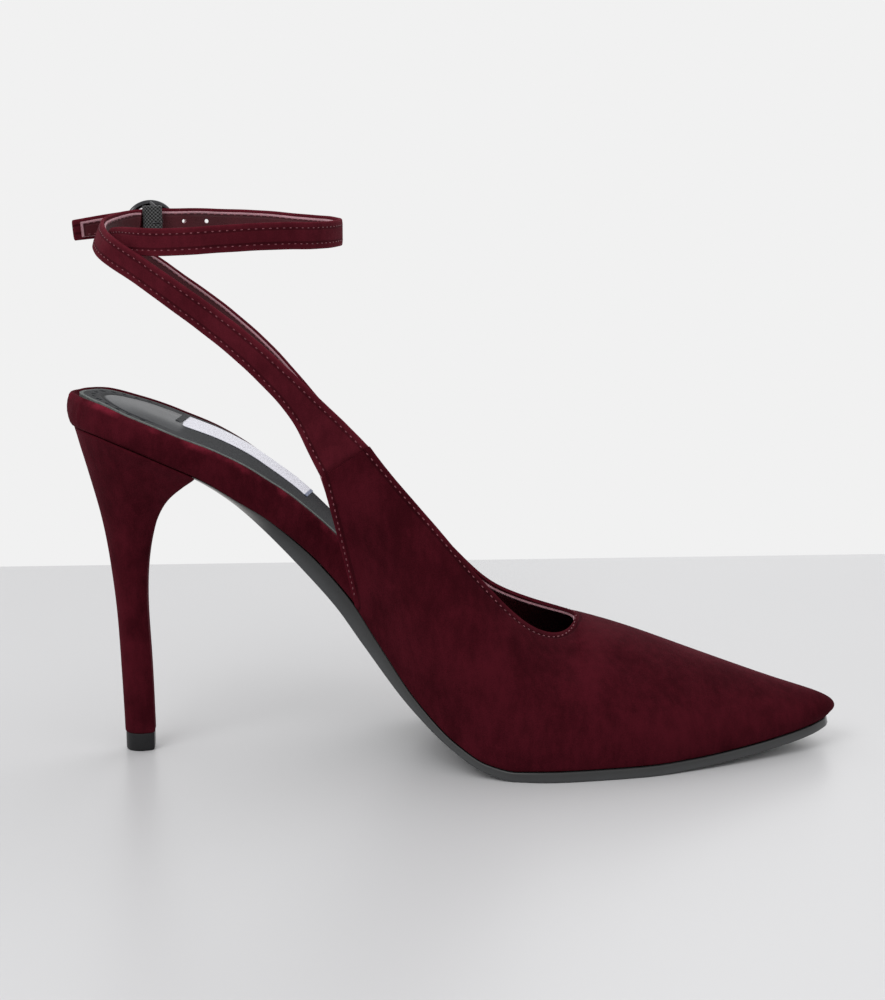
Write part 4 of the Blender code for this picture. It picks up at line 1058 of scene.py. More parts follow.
def stitch_rows(name, rows, material):
    """Thread beads along several lines: each is long along its line, thickest in its middle, ends sunk.

    A point is its stitch's place + tangent x along + (side cos + normal sin) x radius + normal x lift.
    """
    along = np.linspace(-1.0, 1.0, STITCH_RINGS)
    radius = np.sqrt(1.0 - STITCH_TAPER * along ** 2)[:, None, None]
    lift = STITCH_HIGH * (STITCH_LIFT - STITCH_SINK * along ** 4)[:, None, None]
    turn = (np.arange(STITCH_SIDES) * 2.0 * math.pi / STITCH_SIDES)[None, :, None]
    pieces = []
    for path, normal in rows:
        length = run_length(path)
        count = int(length[-1] / STITCH_PITCH)
        at = (np.arange(count) + 0.5) * length[-1] / count
        index = np.interp(at, length, np.arange(len(path)))
        ahead = unit(read_at(np.gradient(path, axis=0), index))[:, None, None]
        out = unit(read_at(normal, index))[:, None, None]
        side = np.cross(ahead, out)
        place = read_at(path, index)[:, None, None]
        body = (side * np.cos(turn) * STITCH_WIDE / 2.0 + out * np.sin(turn) * STITCH_HIGH / 2.0) * radius
        pieces.append(place + ahead * (along * STITCH_LONG / 2.0)[:, None, None] + body + out * lift)
    points = np.concatenate(pieces).reshape(-1, 3)
    one, size = tube_faces(STITCH_RINGS, STITCH_SIDES), STITCH_RINGS * STITCH_SIDES
    faces = (one[None] + size * np.arange(len(points) // size)[:, None, None]).reshape(-1, 4)
    return put(name, "suede", points, faces, [material])


WING_STITCH = 0.12       # rows of QUARTERS between the foot of a wing's back edge and its first stitch


def upper_stitches(material, steps, grids, normals):
    """Rows inside the topline and inside the back edge of each wing."""
    top = np.flatnonzero(steps >= VAMP.last)
    back = np.flatnonzero(steps > VAMP.last + WING_ROW + WING_STITCH)
    rows = []
    for side in (0, 1):
        rows.append(row_inset(grids[side], normals[side], top[:-2], True))
        rows.append(row_inset(grids[side], normals[side], back[:-2], False))
    return stitch_rows("upper_stitches", rows, material)


# Straps

STRAP_ROUND = 0.36       # round of the suede's edges, and of the lining's
STRAP_LINING_ROUND = 0.14
STRAP_CROWN = 0.12       # how far the suede's outer face is rounded up
STRAP_PITCH = 0.6        # between rings
STRAP_ENDS = (0.0, 0.08, 0.25)      # rings that crowd at each end
STRAP_EVEN = 0.5         # length at each end that the even rings leave to those
SEAM_BLEND = 2.0         # length over which a strap comes up from under its wing
SEAM_RISE_BLEND = 9.0    # and over which its upper edge narrows again
WAVER_START = (4.0, 20.0)       # lengths from the seam where the waver comes in
WAVER_END = (20.0, 45.0)        # and from the far end where it dies out
END_SOFT = 0.14          # length of the soft end of a strap, where it is drawn in and thinner
END_DRAW = 0.35
END_THIN = 0.55
STITCH_SPAN = (1.2, 3.0)        # ends of a strap left without stitches
STITCH_TO_EDGE = 0.86    # share of STITCH_INSET at which a strap's rows lie from its edges
# Slow waver of a strap's middle line.  Length and height in millimetres, phase
STRAP_WAVER = ((41.0, 0.06, 0.4), (23.0, 0.04, 2.1), (11.0, 0.02, 4.0))


def buckle_axes():
    """Unit vectors along the strap, out of the buckle's face and up."""
    turn = math.radians(BUCKLE_TURN)
    along = np.array([math.cos(turn), math.sin(turn), 0.0])
    return along, np.array([-along[1], along[0], 0.0]), np.array([0.0, 0.0, 1.0])


def at_buckle(along, out, up=0.0):
    """Points in the buckle's own measures: along the strap, outward from the bar, and up."""
    measures = np.stack(np.broadcast_arrays(*np.atleast_1d(along, out, up)), axis=-1)
    return np.array(BUCKLE_PLACE) + measures @ np.array(buckle_axes())


def inner_table():
    """Inner sling, from the inner wing round the back to the buckle's elastic."""
    facing = BUCKLE_TURN + 90.0 - 360.0
    ends = [(*at_buckle(*place)[0], facing, STRAP_WIDTH) for place in INNER_END]
    return Table(STRAP_COLUMNS, [*INNER_SLING, *ends])


def outer_table():
    """Outer sling, from the outer wing round the back and the ankle, through the buckle."""
    facing = BUCKLE_TURN + 90.0 + 360.0
    ends = [(*at_buckle(*place, -sink)[0], facing, width)
            for place, width, sink in zip(OUTER_END, TIP_WIDTHS, TIP_SINK)]
    return Table(STRAP_COLUMNS, [*OUTER_SLING, *ends])


def strap_line(table):
    """Middle line of a strap at even lengths, its outward and upward directions and its half width.

    It starts SEAM_TUCK under its wing and sunk by SEAM_SINK, so that the wing's edge closes the seam.
    """
    fine = table(np.linspace(0.0, table.last, LOOKUP_FINE))
    path = np.stack([fine[name] for name in "xyz"], axis=-1)
    path = np.concatenate([path[:1] - unit(path[1:2] - path[:1]) * SEAM_TUCK, path])
    turn, width = (np.concatenate([fine[name][:1], fine[name]]) for name in ("facing", "width"))
    length = run_length(path)
    even = np.linspace(STRAP_EVEN, length[-1] - STRAP_EVEN, int(length[-1] / STRAP_PITCH))
    at = np.concatenate([STRAP_ENDS, even, length[-1] - np.array(STRAP_ENDS[::-1])])
    index = np.interp(at, length, np.arange(len(path)))
    middle = read_at(path, index)
    ahead = unit(read_at(np.gradient(path, axis=0), index))
    facing = np.radians(read_at(turn, index))
    backward = np.clip((-np.cos(facing) - LEAN_START) / (1.0 - LEAN_START), 0.0, 1.0)
    lean = math.tan(math.radians(BACK_LEAN)) * backward
    out = np.stack([np.cos(facing), np.sin(facing), lean], axis=-1)
    out = unit(out - ahead * np.sum(out * ahead, axis=-1, keepdims=True))
    up = np.cross(out, ahead)
    up *= np.sign(up[:, 2:])
    waver = sum(high * np.sin(2.0 * math.pi * at / long + phase) for long, high, phase in STRAP_WAVER)
    waver *= ease(at, *WAVER_START) * ease(length[-1] - at, *WAVER_END)
    sink = SEAM_SINK * (1.0 - ease(at, SEAM_TUCK, SEAM_TUCK + SEAM_BLEND))
    rise = SEAM_RISE * (1.0 - ease(at, 0.0, SEAM_TUCK + SEAM_RISE_BLEND)) / 2.0
    half = read_at(width, index) / 2.0 + rise
    middle = middle + up * (waver + rise)[:, None] - out * sink[:, None]
    return {"middle": middle, "out": out, "up": up, "at": at, "half": half,
            "soft": 1.0 - bell((length[-1] - at) / END_SOFT)}


def strap_band(name, line, low, high, radius, crown, materials, trim=0.0, painted_end_highlight=False):
    """Band carried along a strap: its ring stands square to the line, with a crown over its outer face.

    A trimmed band is narrower by trim each side, and its second material runs round its cut edges; its inset
    is counted from its upper edge only, for the painted highlight along the lining's cut edge, and from its
    end too where that end has the painted highlight.
    """
    ring = section_ring(turns=4, over=9, under=3 if trim == 0.0 else 9)
    half = line["half"] - END_DRAW * (1.0 - line["soft"]) - trim
    thick = (high - low) * (END_THIN + (1.0 - END_THIN) * line["soft"])
    middle = (low + high) / 2.0
    across, out = band_section(ring, half, middle - thick / 2.0, middle + thick / 2.0, radius)
    out = out + crown * (ring["flat"] == 1) * (1.0 - (across / half[:, None]) ** 4)
    points = (line["middle"][:, None] + line["up"][:, None] * across[..., None]
              + line["out"][:, None] * out[..., None])
    # only the lining's upper edge gets the painted highlight, as if lit from above
    gap = half[:, None] + trim - (across if trim > 0.0 else np.abs(across))
    if painted_end_highlight:
        gap = np.minimum(gap, (line["at"][-1] - line["at"])[:, None] + trim)
    face_slots = edge_slots(ring, len(half)) if trim > 0.0 else None
    inset = np.clip(FAR_INSET - gap, 0.0, None)
    return put(name, "suede", points, tube_faces(*across.shape), materials, {"inset": inset}, face_slots)


def strap_pieces(name, line, face, lining, end_inset):
    """Suede outside, and inside it the lining, trimmed in from the strap's edges and its end."""
    split = STRAP_HALF - SUEDE_THICK
    outer = strap_band(name + "_suede", line, split, STRAP_HALF, STRAP_ROUND, STRAP_CROWN, [face])
    keep = line["at"] < line["at"][-1] - end_inset
    short = {key: values[keep] for key, values in line.items()}
    inner = strap_band(name + "_lining", short, -STRAP_HALF, split - LAYER_GAP, STRAP_LINING_ROUND, 0.0,
                       lining, LINING_INSET, painted_end_highlight=end_inset > LINING_INSET)
    return outer, inner


def strap_stitches(name, line, material):
    """Rows inside both edges of a strap, on the suede and on the lining."""
    pick = (line["at"] > STITCH_SPAN[0]) & (line["at"] < line["at"][-1] - STITCH_SPAN[1])
    inset = line["half"] - STITCH_INSET * STITCH_TO_EDGE
    rows = []
    for side in (-1.0, 1.0):
        for face in (-1.0, 1.0):
            path = line["middle"] + line["up"] * inset[:, None] * side + line["out"] * STRAP_HALF * face
            rows.append((path[pick], line["out"][pick] * face))
    return stitch_rows(name, rows, material)


HOLE_RADIUS = 0.64
PRONG_HOLE_RADIUS = 1.25
STRAP_HOLES = (33.4, 40.7)      # x of the open holes on the outer side of the ankle
HOLES_FROM = 0.6         # share of the strap's length before its run along the outer side of the ankle
HOLES_OUT = 15.0         # how far out from the shoe's middle that run lies at least
PRONG_HOLE_OUT = 2.6     # how far out from the bar the prong's hole lies
PUNCH_SIDES = 20
PUNCH_REACH = 3.0        # length of a punch to each side of the strap's middle


def punch(place, out, radius, material):
    """Round cutter through the strap."""
    side = unit(np.cross(out, (0.0, 0.0, 1.0)))
    up = np.cross(side, out)
    turn = (np.arange(PUNCH_SIDES) * 2.0 * math.pi / PUNCH_SIDES)[:, None]
    ring = place + (side * np.cos(turn) + up * np.sin(turn)) * radius
    points = np.stack([ring - out * PUNCH_REACH, ring + out * PUNCH_REACH])
    return put("punch", "suede", points, tube_faces(2, PUNCH_SIDES), [material])


def strap_holes(line, pieces, material):
    """Punch the holes of the ankle strap through both of its bands."""
    outer_run = (line["middle"][:, 1] > HOLES_OUT) & (line["at"] > line["at"][-1] * HOLES_FROM)
    x = np.where(outer_run, line["middle"][:, 0], np.inf)
    nearest = [np.argmin(np.abs(x - hole)) for hole in STRAP_HOLES]
    places = [(line["middle"][k], line["out"][k], HOLE_RADIUS) for k in nearest]
    places.append((at_buckle(HOLE_ALONG, PRONG_HOLE_OUT)[0], buckle_axes()[1], PRONG_HOLE_RADIUS))
    for piece in pieces:
        cut(piece, [punch(*place, material) for place in places])


# Buckle

OVAL_ROWS, OVAL_SIDES = 96, 18
OVAL_FLAT = 1.12         # how much wider than thick the oval's wire is
BAR_ROWS, BAR_SIDES = 61, 14
PRONG_ROWS, PRONG_SIDES = 72, 16
HOOK_ROWS = 11           # points of the prong's hook
HOOK_SINK = 0.28         # how far the hook's inner side sinks into the knit
HOOK_SINK_SPAN = (-0.2, 0.6)    # sine of the hook's angle over which it comes out again
HOOK_FLAT = (1.25, 0.3)  # how much wider and thinner than the pin the hook is
HOOK_END = (0.35, 0.6)   # share of the prong where it goes over to the pin
PIN_POINT = (0.75, 0.95)        # how much the pin narrows at its point, and the share where that starts
KNIT_ROWS = 80
KNIT_FOLD_ROWS = 15      # points of the knit's fold round the bar
KNIT_ROUND = 0.3
KNIT_EDGES = (-3.5, 5.1)        # lower and upper edge of the knit from the bar's middle
SLOT_ALONG = (-2.4, 4.0)        # slot in the knit's fold for the prong, from the bar's middle
SLOT_OUT = (0.3, 4.0)
SLOT_HALF = 1.15


def tube(path, radius, sides, closed=False, wide=1.0):
    """Round wire along a path: rings square to it, turned to the buckle's face; wide stretches one way."""
    if closed:
        ahead = unit(np.roll(path, -1, axis=0) - np.roll(path, 1, axis=0))
    else:
        ahead = unit(np.gradient(path, axis=0))
    guide = min(buckle_axes(), key=lambda axis: np.max(np.abs(ahead @ axis)))
    side = unit(np.cross(ahead, guide))
    other = np.cross(ahead, side)
    turn = (np.arange(sides) * 2.0 * math.pi / sides)[None, :, None]
    radius = np.broadcast_to(radius, len(path))[:, None, None]
    wide = np.broadcast_to(wide, len(path))[:, None, None]
    rings = path[:, None] + radius * (side[:, None] * np.cos(turn) * wide + other[:, None] * np.sin(turn))
    faces = grid_faces(len(path), sides, True, True) if closed else tube_faces(len(path), sides)
    return rings.reshape(-1, 3), faces


def joined(*shapes):
    """Points and faces of several shapes as one."""
    starts = np.cumsum([0] + [len(points) for points, _ in shapes[:-1]])
    faces = [face + start for (_, face), start in zip(shapes, starts)]
    return np.concatenate([points for points, _ in shapes]), np.concatenate(faces)


def smooth_path(points, count):
    """Even points on a natural spline through a few."""
    table = Table(("x", "y", "z"), points)
    fine = table(np.linspace(0.0, table.last, LOOKUP_COARSE))
    path = np.stack([fine[name] for name in "xyz"], axis=-1)
    length = run_length(path)
    index = np.interp(np.linspace(0.0, length[-1], count), length, np.arange(LOOKUP_COARSE))
    return read_at(path, index)


def frame_piece(metal):
    """Oval of the buckle, a ring with a flattened section, and its bar bowed in behind the strap."""
    angle = np.arange(OVAL_ROWS) * 2.0 * math.pi / OVAL_ROWS
    oval = at_buckle(FRAME_LONG * np.cos(angle), FRAME_OUT, FRAME_TALL * np.sin(angle))
    share = np.linspace(-1.0, 1.0, BAR_ROWS)
    bend = np.clip((np.abs(share) - BAR_STRAIGHT) / (1.0 - BAR_STRAIGHT), 0.0, 1.0)
    bar = at_buckle(0.0, FRAME_OUT * bend ** BAR_BEND, FRAME_TALL * share)
    shapes = joined(tube(oval, FRAME_WIRE, OVAL_SIDES, closed=True, wide=OVAL_FLAT),
                    tube(bar, BAR_WIRE, BAR_SIDES))
    return put("buckle_oval", "gunmetal", *shapes, [metal])


def prong_piece(metal):
    """Prong: a flat hook round the bar that narrows to a round pin over the front of the oval."""
    hook = BAR_WIRE + GAP + PRONG_WIRE
    over = FRAME_OUT + FRAME_WIRE + GAP + PRONG_WIRE
    angle = np.radians(np.linspace(*PRONG_HOOK, HOOK_ROWS))
    along, lift = np.array(PRONG_RISE).T
    turn = hook - HOOK_SINK * (1.0 - ease(np.sin(angle), *HOOK_SINK_SPAN))
    path = np.concatenate([at_buckle(-turn * np.cos(angle), turn * np.sin(angle)),
                           at_buckle(along, hook + (over - hook) * lift)])
    path = smooth_path(path, PRONG_ROWS)
    share = np.linspace(0.0, 1.0, PRONG_ROWS)
    flat = 1.0 - ease(share, *HOOK_END)
    wider, thinner = HOOK_FLAT
    narrow, start = PIN_POINT
    radius = PRONG_WIRE * (1.0 - thinner * flat) * (1.0 - narrow * ease(share, start, 1.0))
    return put("buckle_pin", "gunmetal", *tube(path, radius, PRONG_SIDES, wide=1.0 + wider * flat), [metal])


def elastic_piece(material):
    """Knitted tab folded round the bar, with a slot in the fold for the prong; marks along and up it."""
    fold = BAR_WIRE + GAP + ELASTIC_THICK / 2.0
    angle = np.radians(np.linspace(ELASTIC_FOLD, -ELASTIC_FOLD, KNIT_FOLD_ROWS))
    legs = [(along, ELASTIC_THICK / 2.0 + room) for along, room in ELASTIC_LEGS]
    path = legs[::-1] + [(fold * math.cos(a), fold * math.sin(a)) for a in angle]
    path = np.array(path + [(along, -out) for along, out in legs])
    path = smooth_path(np.concatenate([path, 0.0 * path[:, :1]], axis=1), KNIT_ROWS)[:, :2]
    ahead = unit(np.gradient(path, axis=0))
    normal = np.stack([-ahead[:, 1], ahead[:, 0]], axis=-1)
    ring = section_ring(turns=4, over=15, under=15)
    half = np.full(KNIT_ROWS, (KNIT_EDGES[1] - KNIT_EDGES[0]) / 2.0)
    up, out = band_section(ring, half, -ELASTIC_THICK / 2.0, ELASTIC_THICK / 2.0, KNIT_ROUND)
    up = up + sum(KNIT_EDGES) / 2.0
    flat = path[:, None] + normal[:, None] * out[..., None]
    points = at_buckle(flat[..., 0].ravel(), flat[..., 1].ravel(), up.ravel())
    along = np.broadcast_to(run_length(path)[:, None], up.shape)
    marks = {"along": along, "across": up}
    item = put("elastic_tab", "elastic", points, tube_faces(*up.shape), [material], marks)
    near, far = SLOT_OUT
    corners = ((near, -SLOT_HALF), (near, SLOT_HALF), (far, SLOT_HALF), (far, -SLOT_HALF))
    slot = [at_buckle(along, out, height)[0] for along in SLOT_ALONG for out, height in corners]
    cut(item, [put("slot", "elastic", np.array(slot), tube_faces(2, 4), [material])])
    return item


# Shader building

NOISE_SPAN = (0.3, 0.7)  # where nearly all the values of a noise lie


def add(tree, kind, inputs=None, **settings):
    """Shader node with its settings; each input takes a value, or the output that feeds it."""
    item = tree.nodes.new("ShaderNode" + kind)
    for name, value in settings.items():
        setattr(item, name, value)
    for name, value in (inputs or {}).items():
        if isinstance(value, bpy.types.NodeSocket):
            tree.links.new(value, item.inputs[name])
        else:
            item.inputs[name].default_value = value
    return item


def feed(tree, inputs, **sources):
    """Link outputs to inputs by name; an underscore stands for a space."""
    for label, source in sources.items():
        tree.links.new(source, inputs[label.replace("_", " ")])


def maths(tree, operation, *values):
    """Output of a Math node."""
    return add(tree, "Math", dict(enumerate(values)), operation=operation).outputs[0]


def times(tree, first, second):
    """Product of two values."""
    return maths(tree, "MULTIPLY", first, second)


def plus(tree, first, second):
    """Sum of two values."""
    return maths(tree, "ADD", first, second)


def remap(tree, value, low, high, to_low, to_high):
    """Value eased from low..high to to_low..to_high, and held at its ends."""
    inputs = {"Value": value, "From Min": low, "From Max": high, "To Min": to_low, "To Max": to_high}
    return add(tree, "MapRange", inputs, interpolation_type="SMOOTHSTEP").outputs[0]


def by_noise(tree, tone, low, high):
    """Value that a noise moves between two ends."""
    return remap(tree, tone, *NOISE_SPAN, low, high)


def by_mark(tree, value, off, on):
    """Value that a mark moves from off at 0 to on at 1."""
    return remap(tree, value, 0.0, 1.0, off, on)


def noise(tree, vector, scale, detail, **more):
    """Value of a noise over the surface."""
    return add(tree, "TexNoise", {"Vector": vector, "Scale": scale, "Detail": detail, **more}).outputs[0]


def dyed(tree, colour, factor):
    """Colour scaled by a factor that changes over the surface."""
    return add(tree, "VectorMath", {0: colour, "Scale": factor}, operation="SCALE").outputs[0]


def blend(tree, first, second, factor):
    """Colour between two plain colours."""
    inputs = {0: factor, 6: (*first, 1.0), 7: (*second, 1.0)}
    return add(tree, "Mix", inputs, data_type="RGBA").outputs[2]


def mark(tree, name):
    """Value of a point mark of the piece."""
    return add(tree, "Attribute", attribute_name=name).outputs["Fac"]


def bump(tree, shader, height, strength, distance):
    """Turn the shader's normal by a height whose step of 1 is a distance in millimetres."""
    item = add(tree, "Bump", {"Height": height, "Strength": strength, "Distance": distance * MM})
    tree.links.new(item.outputs[0], shader.inputs["Normal"])


# Effects that several materials share

def effect(name, inputs, outputs):
    """Empty shader group with sockets of the given kinds: its tree, its inputs and its outputs by name."""
    tree = bpy.data.node_groups.new(name, "ShaderNodeTree")
    for way, sockets in (("INPUT", inputs), ("OUTPUT", outputs)):
        for label, kind in sockets.items():
            tree.interface.new_socket(label, in_out=way, socket_type="NodeSocket" + kind)
    start, end = tree.nodes.new("NodeGroupInput"), tree.nodes.new("NodeGroupOutput")
    return tree, start.outputs, end.inputs


def use(tree, effect_tree, **inputs):
    """Outputs of a shader group that is placed with its own values; an underscore stands for a space."""
    named = {label.replace("_", " "): value for label, value in inputs.items()}
    return add(tree, "Group", named, node_tree=effect_tree).outputs


def nap_effect():
    """Suede nap: brushed light and dark patches, streaks and fibres in the colour, and a fine height."""
    sizes = {"Patch Scale": "Float", "Fibre Scale": "Float", "Contrast": "Float"}
    tree, start, end = effect("nap", {"Vector": "Vector", "Colour": "Color", **sizes},
                              {"Colour": "Color", "Roughness": "Float", "Height": "Float"})
    place, scale = start["Vector"], start["Patch Scale"]
    patch = noise(tree, place, scale, 3.0, Roughness=0.55, Distortion=0.4)
    brushed = {"Vector": place, "Scale": (1.0, 1.0, 0.4), "Rotation": (0.0, 0.6, 0.0)}
    brushed = add(tree, "Mapping", brushed).outputs[0]
    streak = noise(tree, brushed, times(tree, scale, 9.0), 4.0, Roughness=0.6)
    fibre = noise(tree, place, start["Fibre Scale"], 2.0, Roughness=0.7)
    fine = plus(tree, times(tree, streak, 0.28), times(tree, fibre, 0.22))
    tone = plus(tree, times(tree, patch, 0.5), fine)
    darkest = maths(tree, "SUBTRACT", 1.0, start["Contrast"])
    palest = plus(tree, 1.0, start["Contrast"])
    shade = remap(tree, tone, 0.36, 0.64, darkest, palest)
    height = plus(tree, times(tree, fibre, 0.7), times(tree, streak, 0.5))
    feed(tree, end, Colour=dyed(tree, start["Colour"], shade), Height=height,
         Roughness=by_noise(tree, patch, 0.98, 0.84))
    return tree


def press_effect():
    """Stitched edge, from the inset mark: a groove under the stitch row and a band pressed at the edge."""
    tree, start, end = effect("stitched_edge", {"Inset": "Float", "Row": "Float"},
                              {"Groove": "Float", "Edge": "Float"})
    distance = maths(tree, "SUBTRACT", FAR_INSET, start["Inset"])
    off_row = maths(tree, "ABSOLUTE", maths(tree, "SUBTRACT", distance, start["Row"]))
    feed(tree, end, Groove=remap(tree, off_row, 0.1, 0.6, 1.0, 0.0),
         Edge=remap(tree, distance, 0.1, 1.0, 1.0, 0.0))
    return tree


def grain_effect():
    """Leather grain: rounded cells with creases between them and fine pores, and a slow tone."""
    tree, start, end = effect("grain", {"Vector": "Vector", "Scale": "Float"},
                              {"Height": "Float", "Tone": "Float"})
    place, scale = start["Vector"], start["Scale"]
    warp = add(tree, "TexNoise", {"Vector": place, "Scale": times(tree, scale, 0.25), "Detail": 2.0})
    warp = dyed(tree, warp.outputs["Color"], 0.0012)
    warped = add(tree, "VectorMath", {0: place, 1: warp}, operation="ADD").outputs[0]
    cell = add(tree, "TexVoronoi", {"Vector": warped, "Scale": scale}, feature="SMOOTH_F1").outputs[0]
    pores = noise(tree, place, times(tree, scale, 3.0), 3.0)
    height = plus(tree, remap(tree, cell, 0.1, 0.75, 1.0, 0.0), times(tree, pores, 0.35))
    feed(tree, end, Height=height, Tone=noise(tree, place, times(tree, scale, 0.05), 3.0))
    return tree


def weave_effect():
    """Woven threads from two running marks: the product of two sines, raised where a thread is on top."""
    tree, start, end = effect("weave", dict.fromkeys(("Along", "Across", "Pitch", "Wale"), "Float"),
                              {"Height": "Float"})
    waves = []
    for running, period in (("Along", "Pitch"), ("Across", "Wale")):
        share = maths(tree, "DIVIDE", start[running], start[period])
        waves.append(maths(tree, "SINE", times(tree, share, 2.0 * math.pi)))
    feed(tree, end, Height=remap(tree, times(tree, *waves), -1.0, 1.0, 0.0, 1.0))
    return tree


def speckle_effect():
    """One noise that moves shade, roughness and height together, each of the first two between two ends."""
    ends = dict.fromkeys(("Scale", "Detail", "Dark", "Pale", "Smooth", "Rough"), "Float")
    tree, start, end = effect("speckle", {"Vector": "Vector", "Colour": "Color", **ends},
                              {"Colour": "Color", "Roughness": "Float", "Height": "Float"})
    tone = noise(tree, start["Vector"], start["Scale"], start["Detail"])
    shade = by_noise(tree, tone, start["Dark"], start["Pale"])
    feed(tree, end, Colour=dyed(tree, start["Colour"], shade), Height=tone,
         Roughness=by_noise(tree, tone, start["Smooth"], start["Rough"]))
    return tree


NAP, PRESS, GRAIN, WEAVE, SPECKLE = (make() for make in (
    nap_effect, press_effect, grain_effect, weave_effect, speckle_effect))


# Materials

SUEDE_COLOUR = (0.046, 0.0036, 0.0074)
# the suede colour made paler for the straps: painted light, where they face it more
STRAP_PAINTED_LIGHT_COLOUR = (0.066, 0.0066, 0.0118)
LINING_COLOUR = (0.060, 0.0085, 0.0125)
# painted highlight colour of the lining's border along its cut edge
PAINTED_EDGE_HIGHLIGHT_COLOUR = (0.40, 0.225, 0.255)
CUT_COLOUR = (0.40, 0.20, 0.23)
THREAD_COLOUR = (0.18, 0.050, 0.064)
SOCK_COLOUR = (0.018, 0.0195, 0.0225)
BORDER_COLOUR = (0.12, 0.135, 0.13)
SOCK_EDGE_COLOUR = (0.11, 0.125, 0.12)
LABEL_COLOUR = (0.78, 0.78, 0.86)
FOLD_COLOUR = (0.15, 0.18, 0.28)
SOLE_COLOUR = (0.020, 0.021, 0.022)
RAW_COLOUR = (0.50, 0.49, 0.47)
RUBBER_COLOUR = (0.008, 0.008, 0.009)
METAL_COLOUR = (0.060, 0.060, 0.063)
KNIT_COLOUR = (0.062, 0.064, 0.064)
FLOOR_COLOUR = (0.58, 0.58, 0.59)


def finish_of(name, **constants):
    """New material: its tree, its Principled shader with constant values, and its Object coordinates."""
    material = bpy.data.materials.new(name)
    material.use_nodes = True
    tree = material.node_tree
    shader = tree.nodes["Principled BSDF"]
    for label, value in constants.items():
        shader.inputs[label.replace("_", " ")].default_value = value
    return material, tree, shader, add(tree, "TexCoord").outputs["Object"]


def speckled(name, colour, noise_size, shade, gloss, relief=None, **constants):
    """Material of one noise with its scale and detail: ends of shade and of roughness, and its bump."""
    material, tree, shader, place = finish_of(name, **constants)
    speck = use(tree, SPECKLE, Vector=place, Colour=(*colour, 1.0), Scale=noise_size[0], Detail=noise_size[1],
                Dark=shade[0], Pale=shade[1], Smooth=gloss[0], Rough=gloss[1])
    feed(tree, shader.inputs, Base_Color=speck["Colour"], Roughness=speck["Roughness"])
    if relief:
        bump(tree, shader, speck["Height"], *relief)
    return material


def suede(name, colour=SUEDE_COLOUR, patch_scale=46.0, contrast=0.34):
    """Burgundy suede: napped colour, a groove under the stitches with painted shade in it, a paler pressed
    edge and a painted highlight in patches on the rim's lip.
    """
    material, tree, shader, place = finish_of(name, Sheen_Weight=0.08, Sheen_Roughness=0.42,
                                              Sheen_Tint=(0.7, 0.10, 0.17, 1.0), Specular_IOR_Level=0.04)
    nap = use(tree, NAP, Vector=place, Colour=(*colour, 1.0), Patch_Scale=patch_scale, Fibre_Scale=2300.0,
              Contrast=contrast)
    press = use(tree, PRESS, Inset=mark(tree, "inset"), Row=STITCH_INSET)
    # painted highlight: on the rim's lip mark, patches of noise make the suede up to 2.6 times paler
    glint_patches = remap(tree, noise(tree, place, 130.0, 3.0), 0.40, 0.62, 0.15, 1.0)
    painted_lip_glint = times(tree, mark(tree, "lip_painted_highlight"), glint_patches)
    # painted shade: the colour is darkened in the groove under the stitches
    shade = times(tree, by_mark(tree, press["Groove"], 1.0, 0.66), by_mark(tree, press["Edge"], 1.0, 1.3))
    shade = times(tree, shade, by_mark(tree, painted_lip_glint, 1.0, 2.6))
    feed(tree, shader.inputs, Base_Color=dyed(tree, nap["Colour"], shade), Roughness=nap["Roughness"])
    height = plus(tree, times(tree, nap["Height"], 0.16), times(tree, press["Groove"], -0.22))
    bump(tree, shader, height, 0.85, 1.0)
    return material


def lining_leather():
    """Smooth wine-brown lining: a painted highlight in pale mauve along its cut edges, painted shade in the
    groove under its stitches.
    """
    material, tree, shader, place = finish_of("lining_leather", Specular_IOR_Level=0.2)
    grain = use(tree, GRAIN, Vector=place, Scale=1100.0)
    inset = mark(tree, "inset")
    press = use(tree, PRESS, Inset=inset, Row=STITCH_INSET)
    border = FAR_INSET - LINING_INSET - EDGE_HIGHLIGHT_WIDTH
    # painted highlight along the cut edge
    pale = remap(tree, inset, border, border + 0.25, 0.0, 1.0)
    colour = blend(tree, LINING_COLOUR, PAINTED_EDGE_HIGHLIGHT_COLOUR, pale)
    # painted shade in the groove under the stitches
    shade = times(tree, by_noise(tree, grain["Tone"], 0.8, 1.2), by_mark(tree, press["Groove"], 1.0, 0.75))
    feed(tree, shader.inputs, Base_Color=dyed(tree, colour, shade),
         Roughness=by_noise(tree, grain["Tone"], 0.5, 0.62))
    height = plus(tree, times(tree, grain["Height"], 0.05), times(tree, press["Groove"], -0.15))
    bump(tree, shader, height, 0.6, 1.0)
    return material


def cut_edge():
    """Mauve cut edge of the lining."""
    return speckled("cut_edge", CUT_COLOUR, (900.0, 3.0), (0.75, 1.2), (0.42, 0.6), (0.3, 0.1),
                    Specular_IOR_Level=0.4)


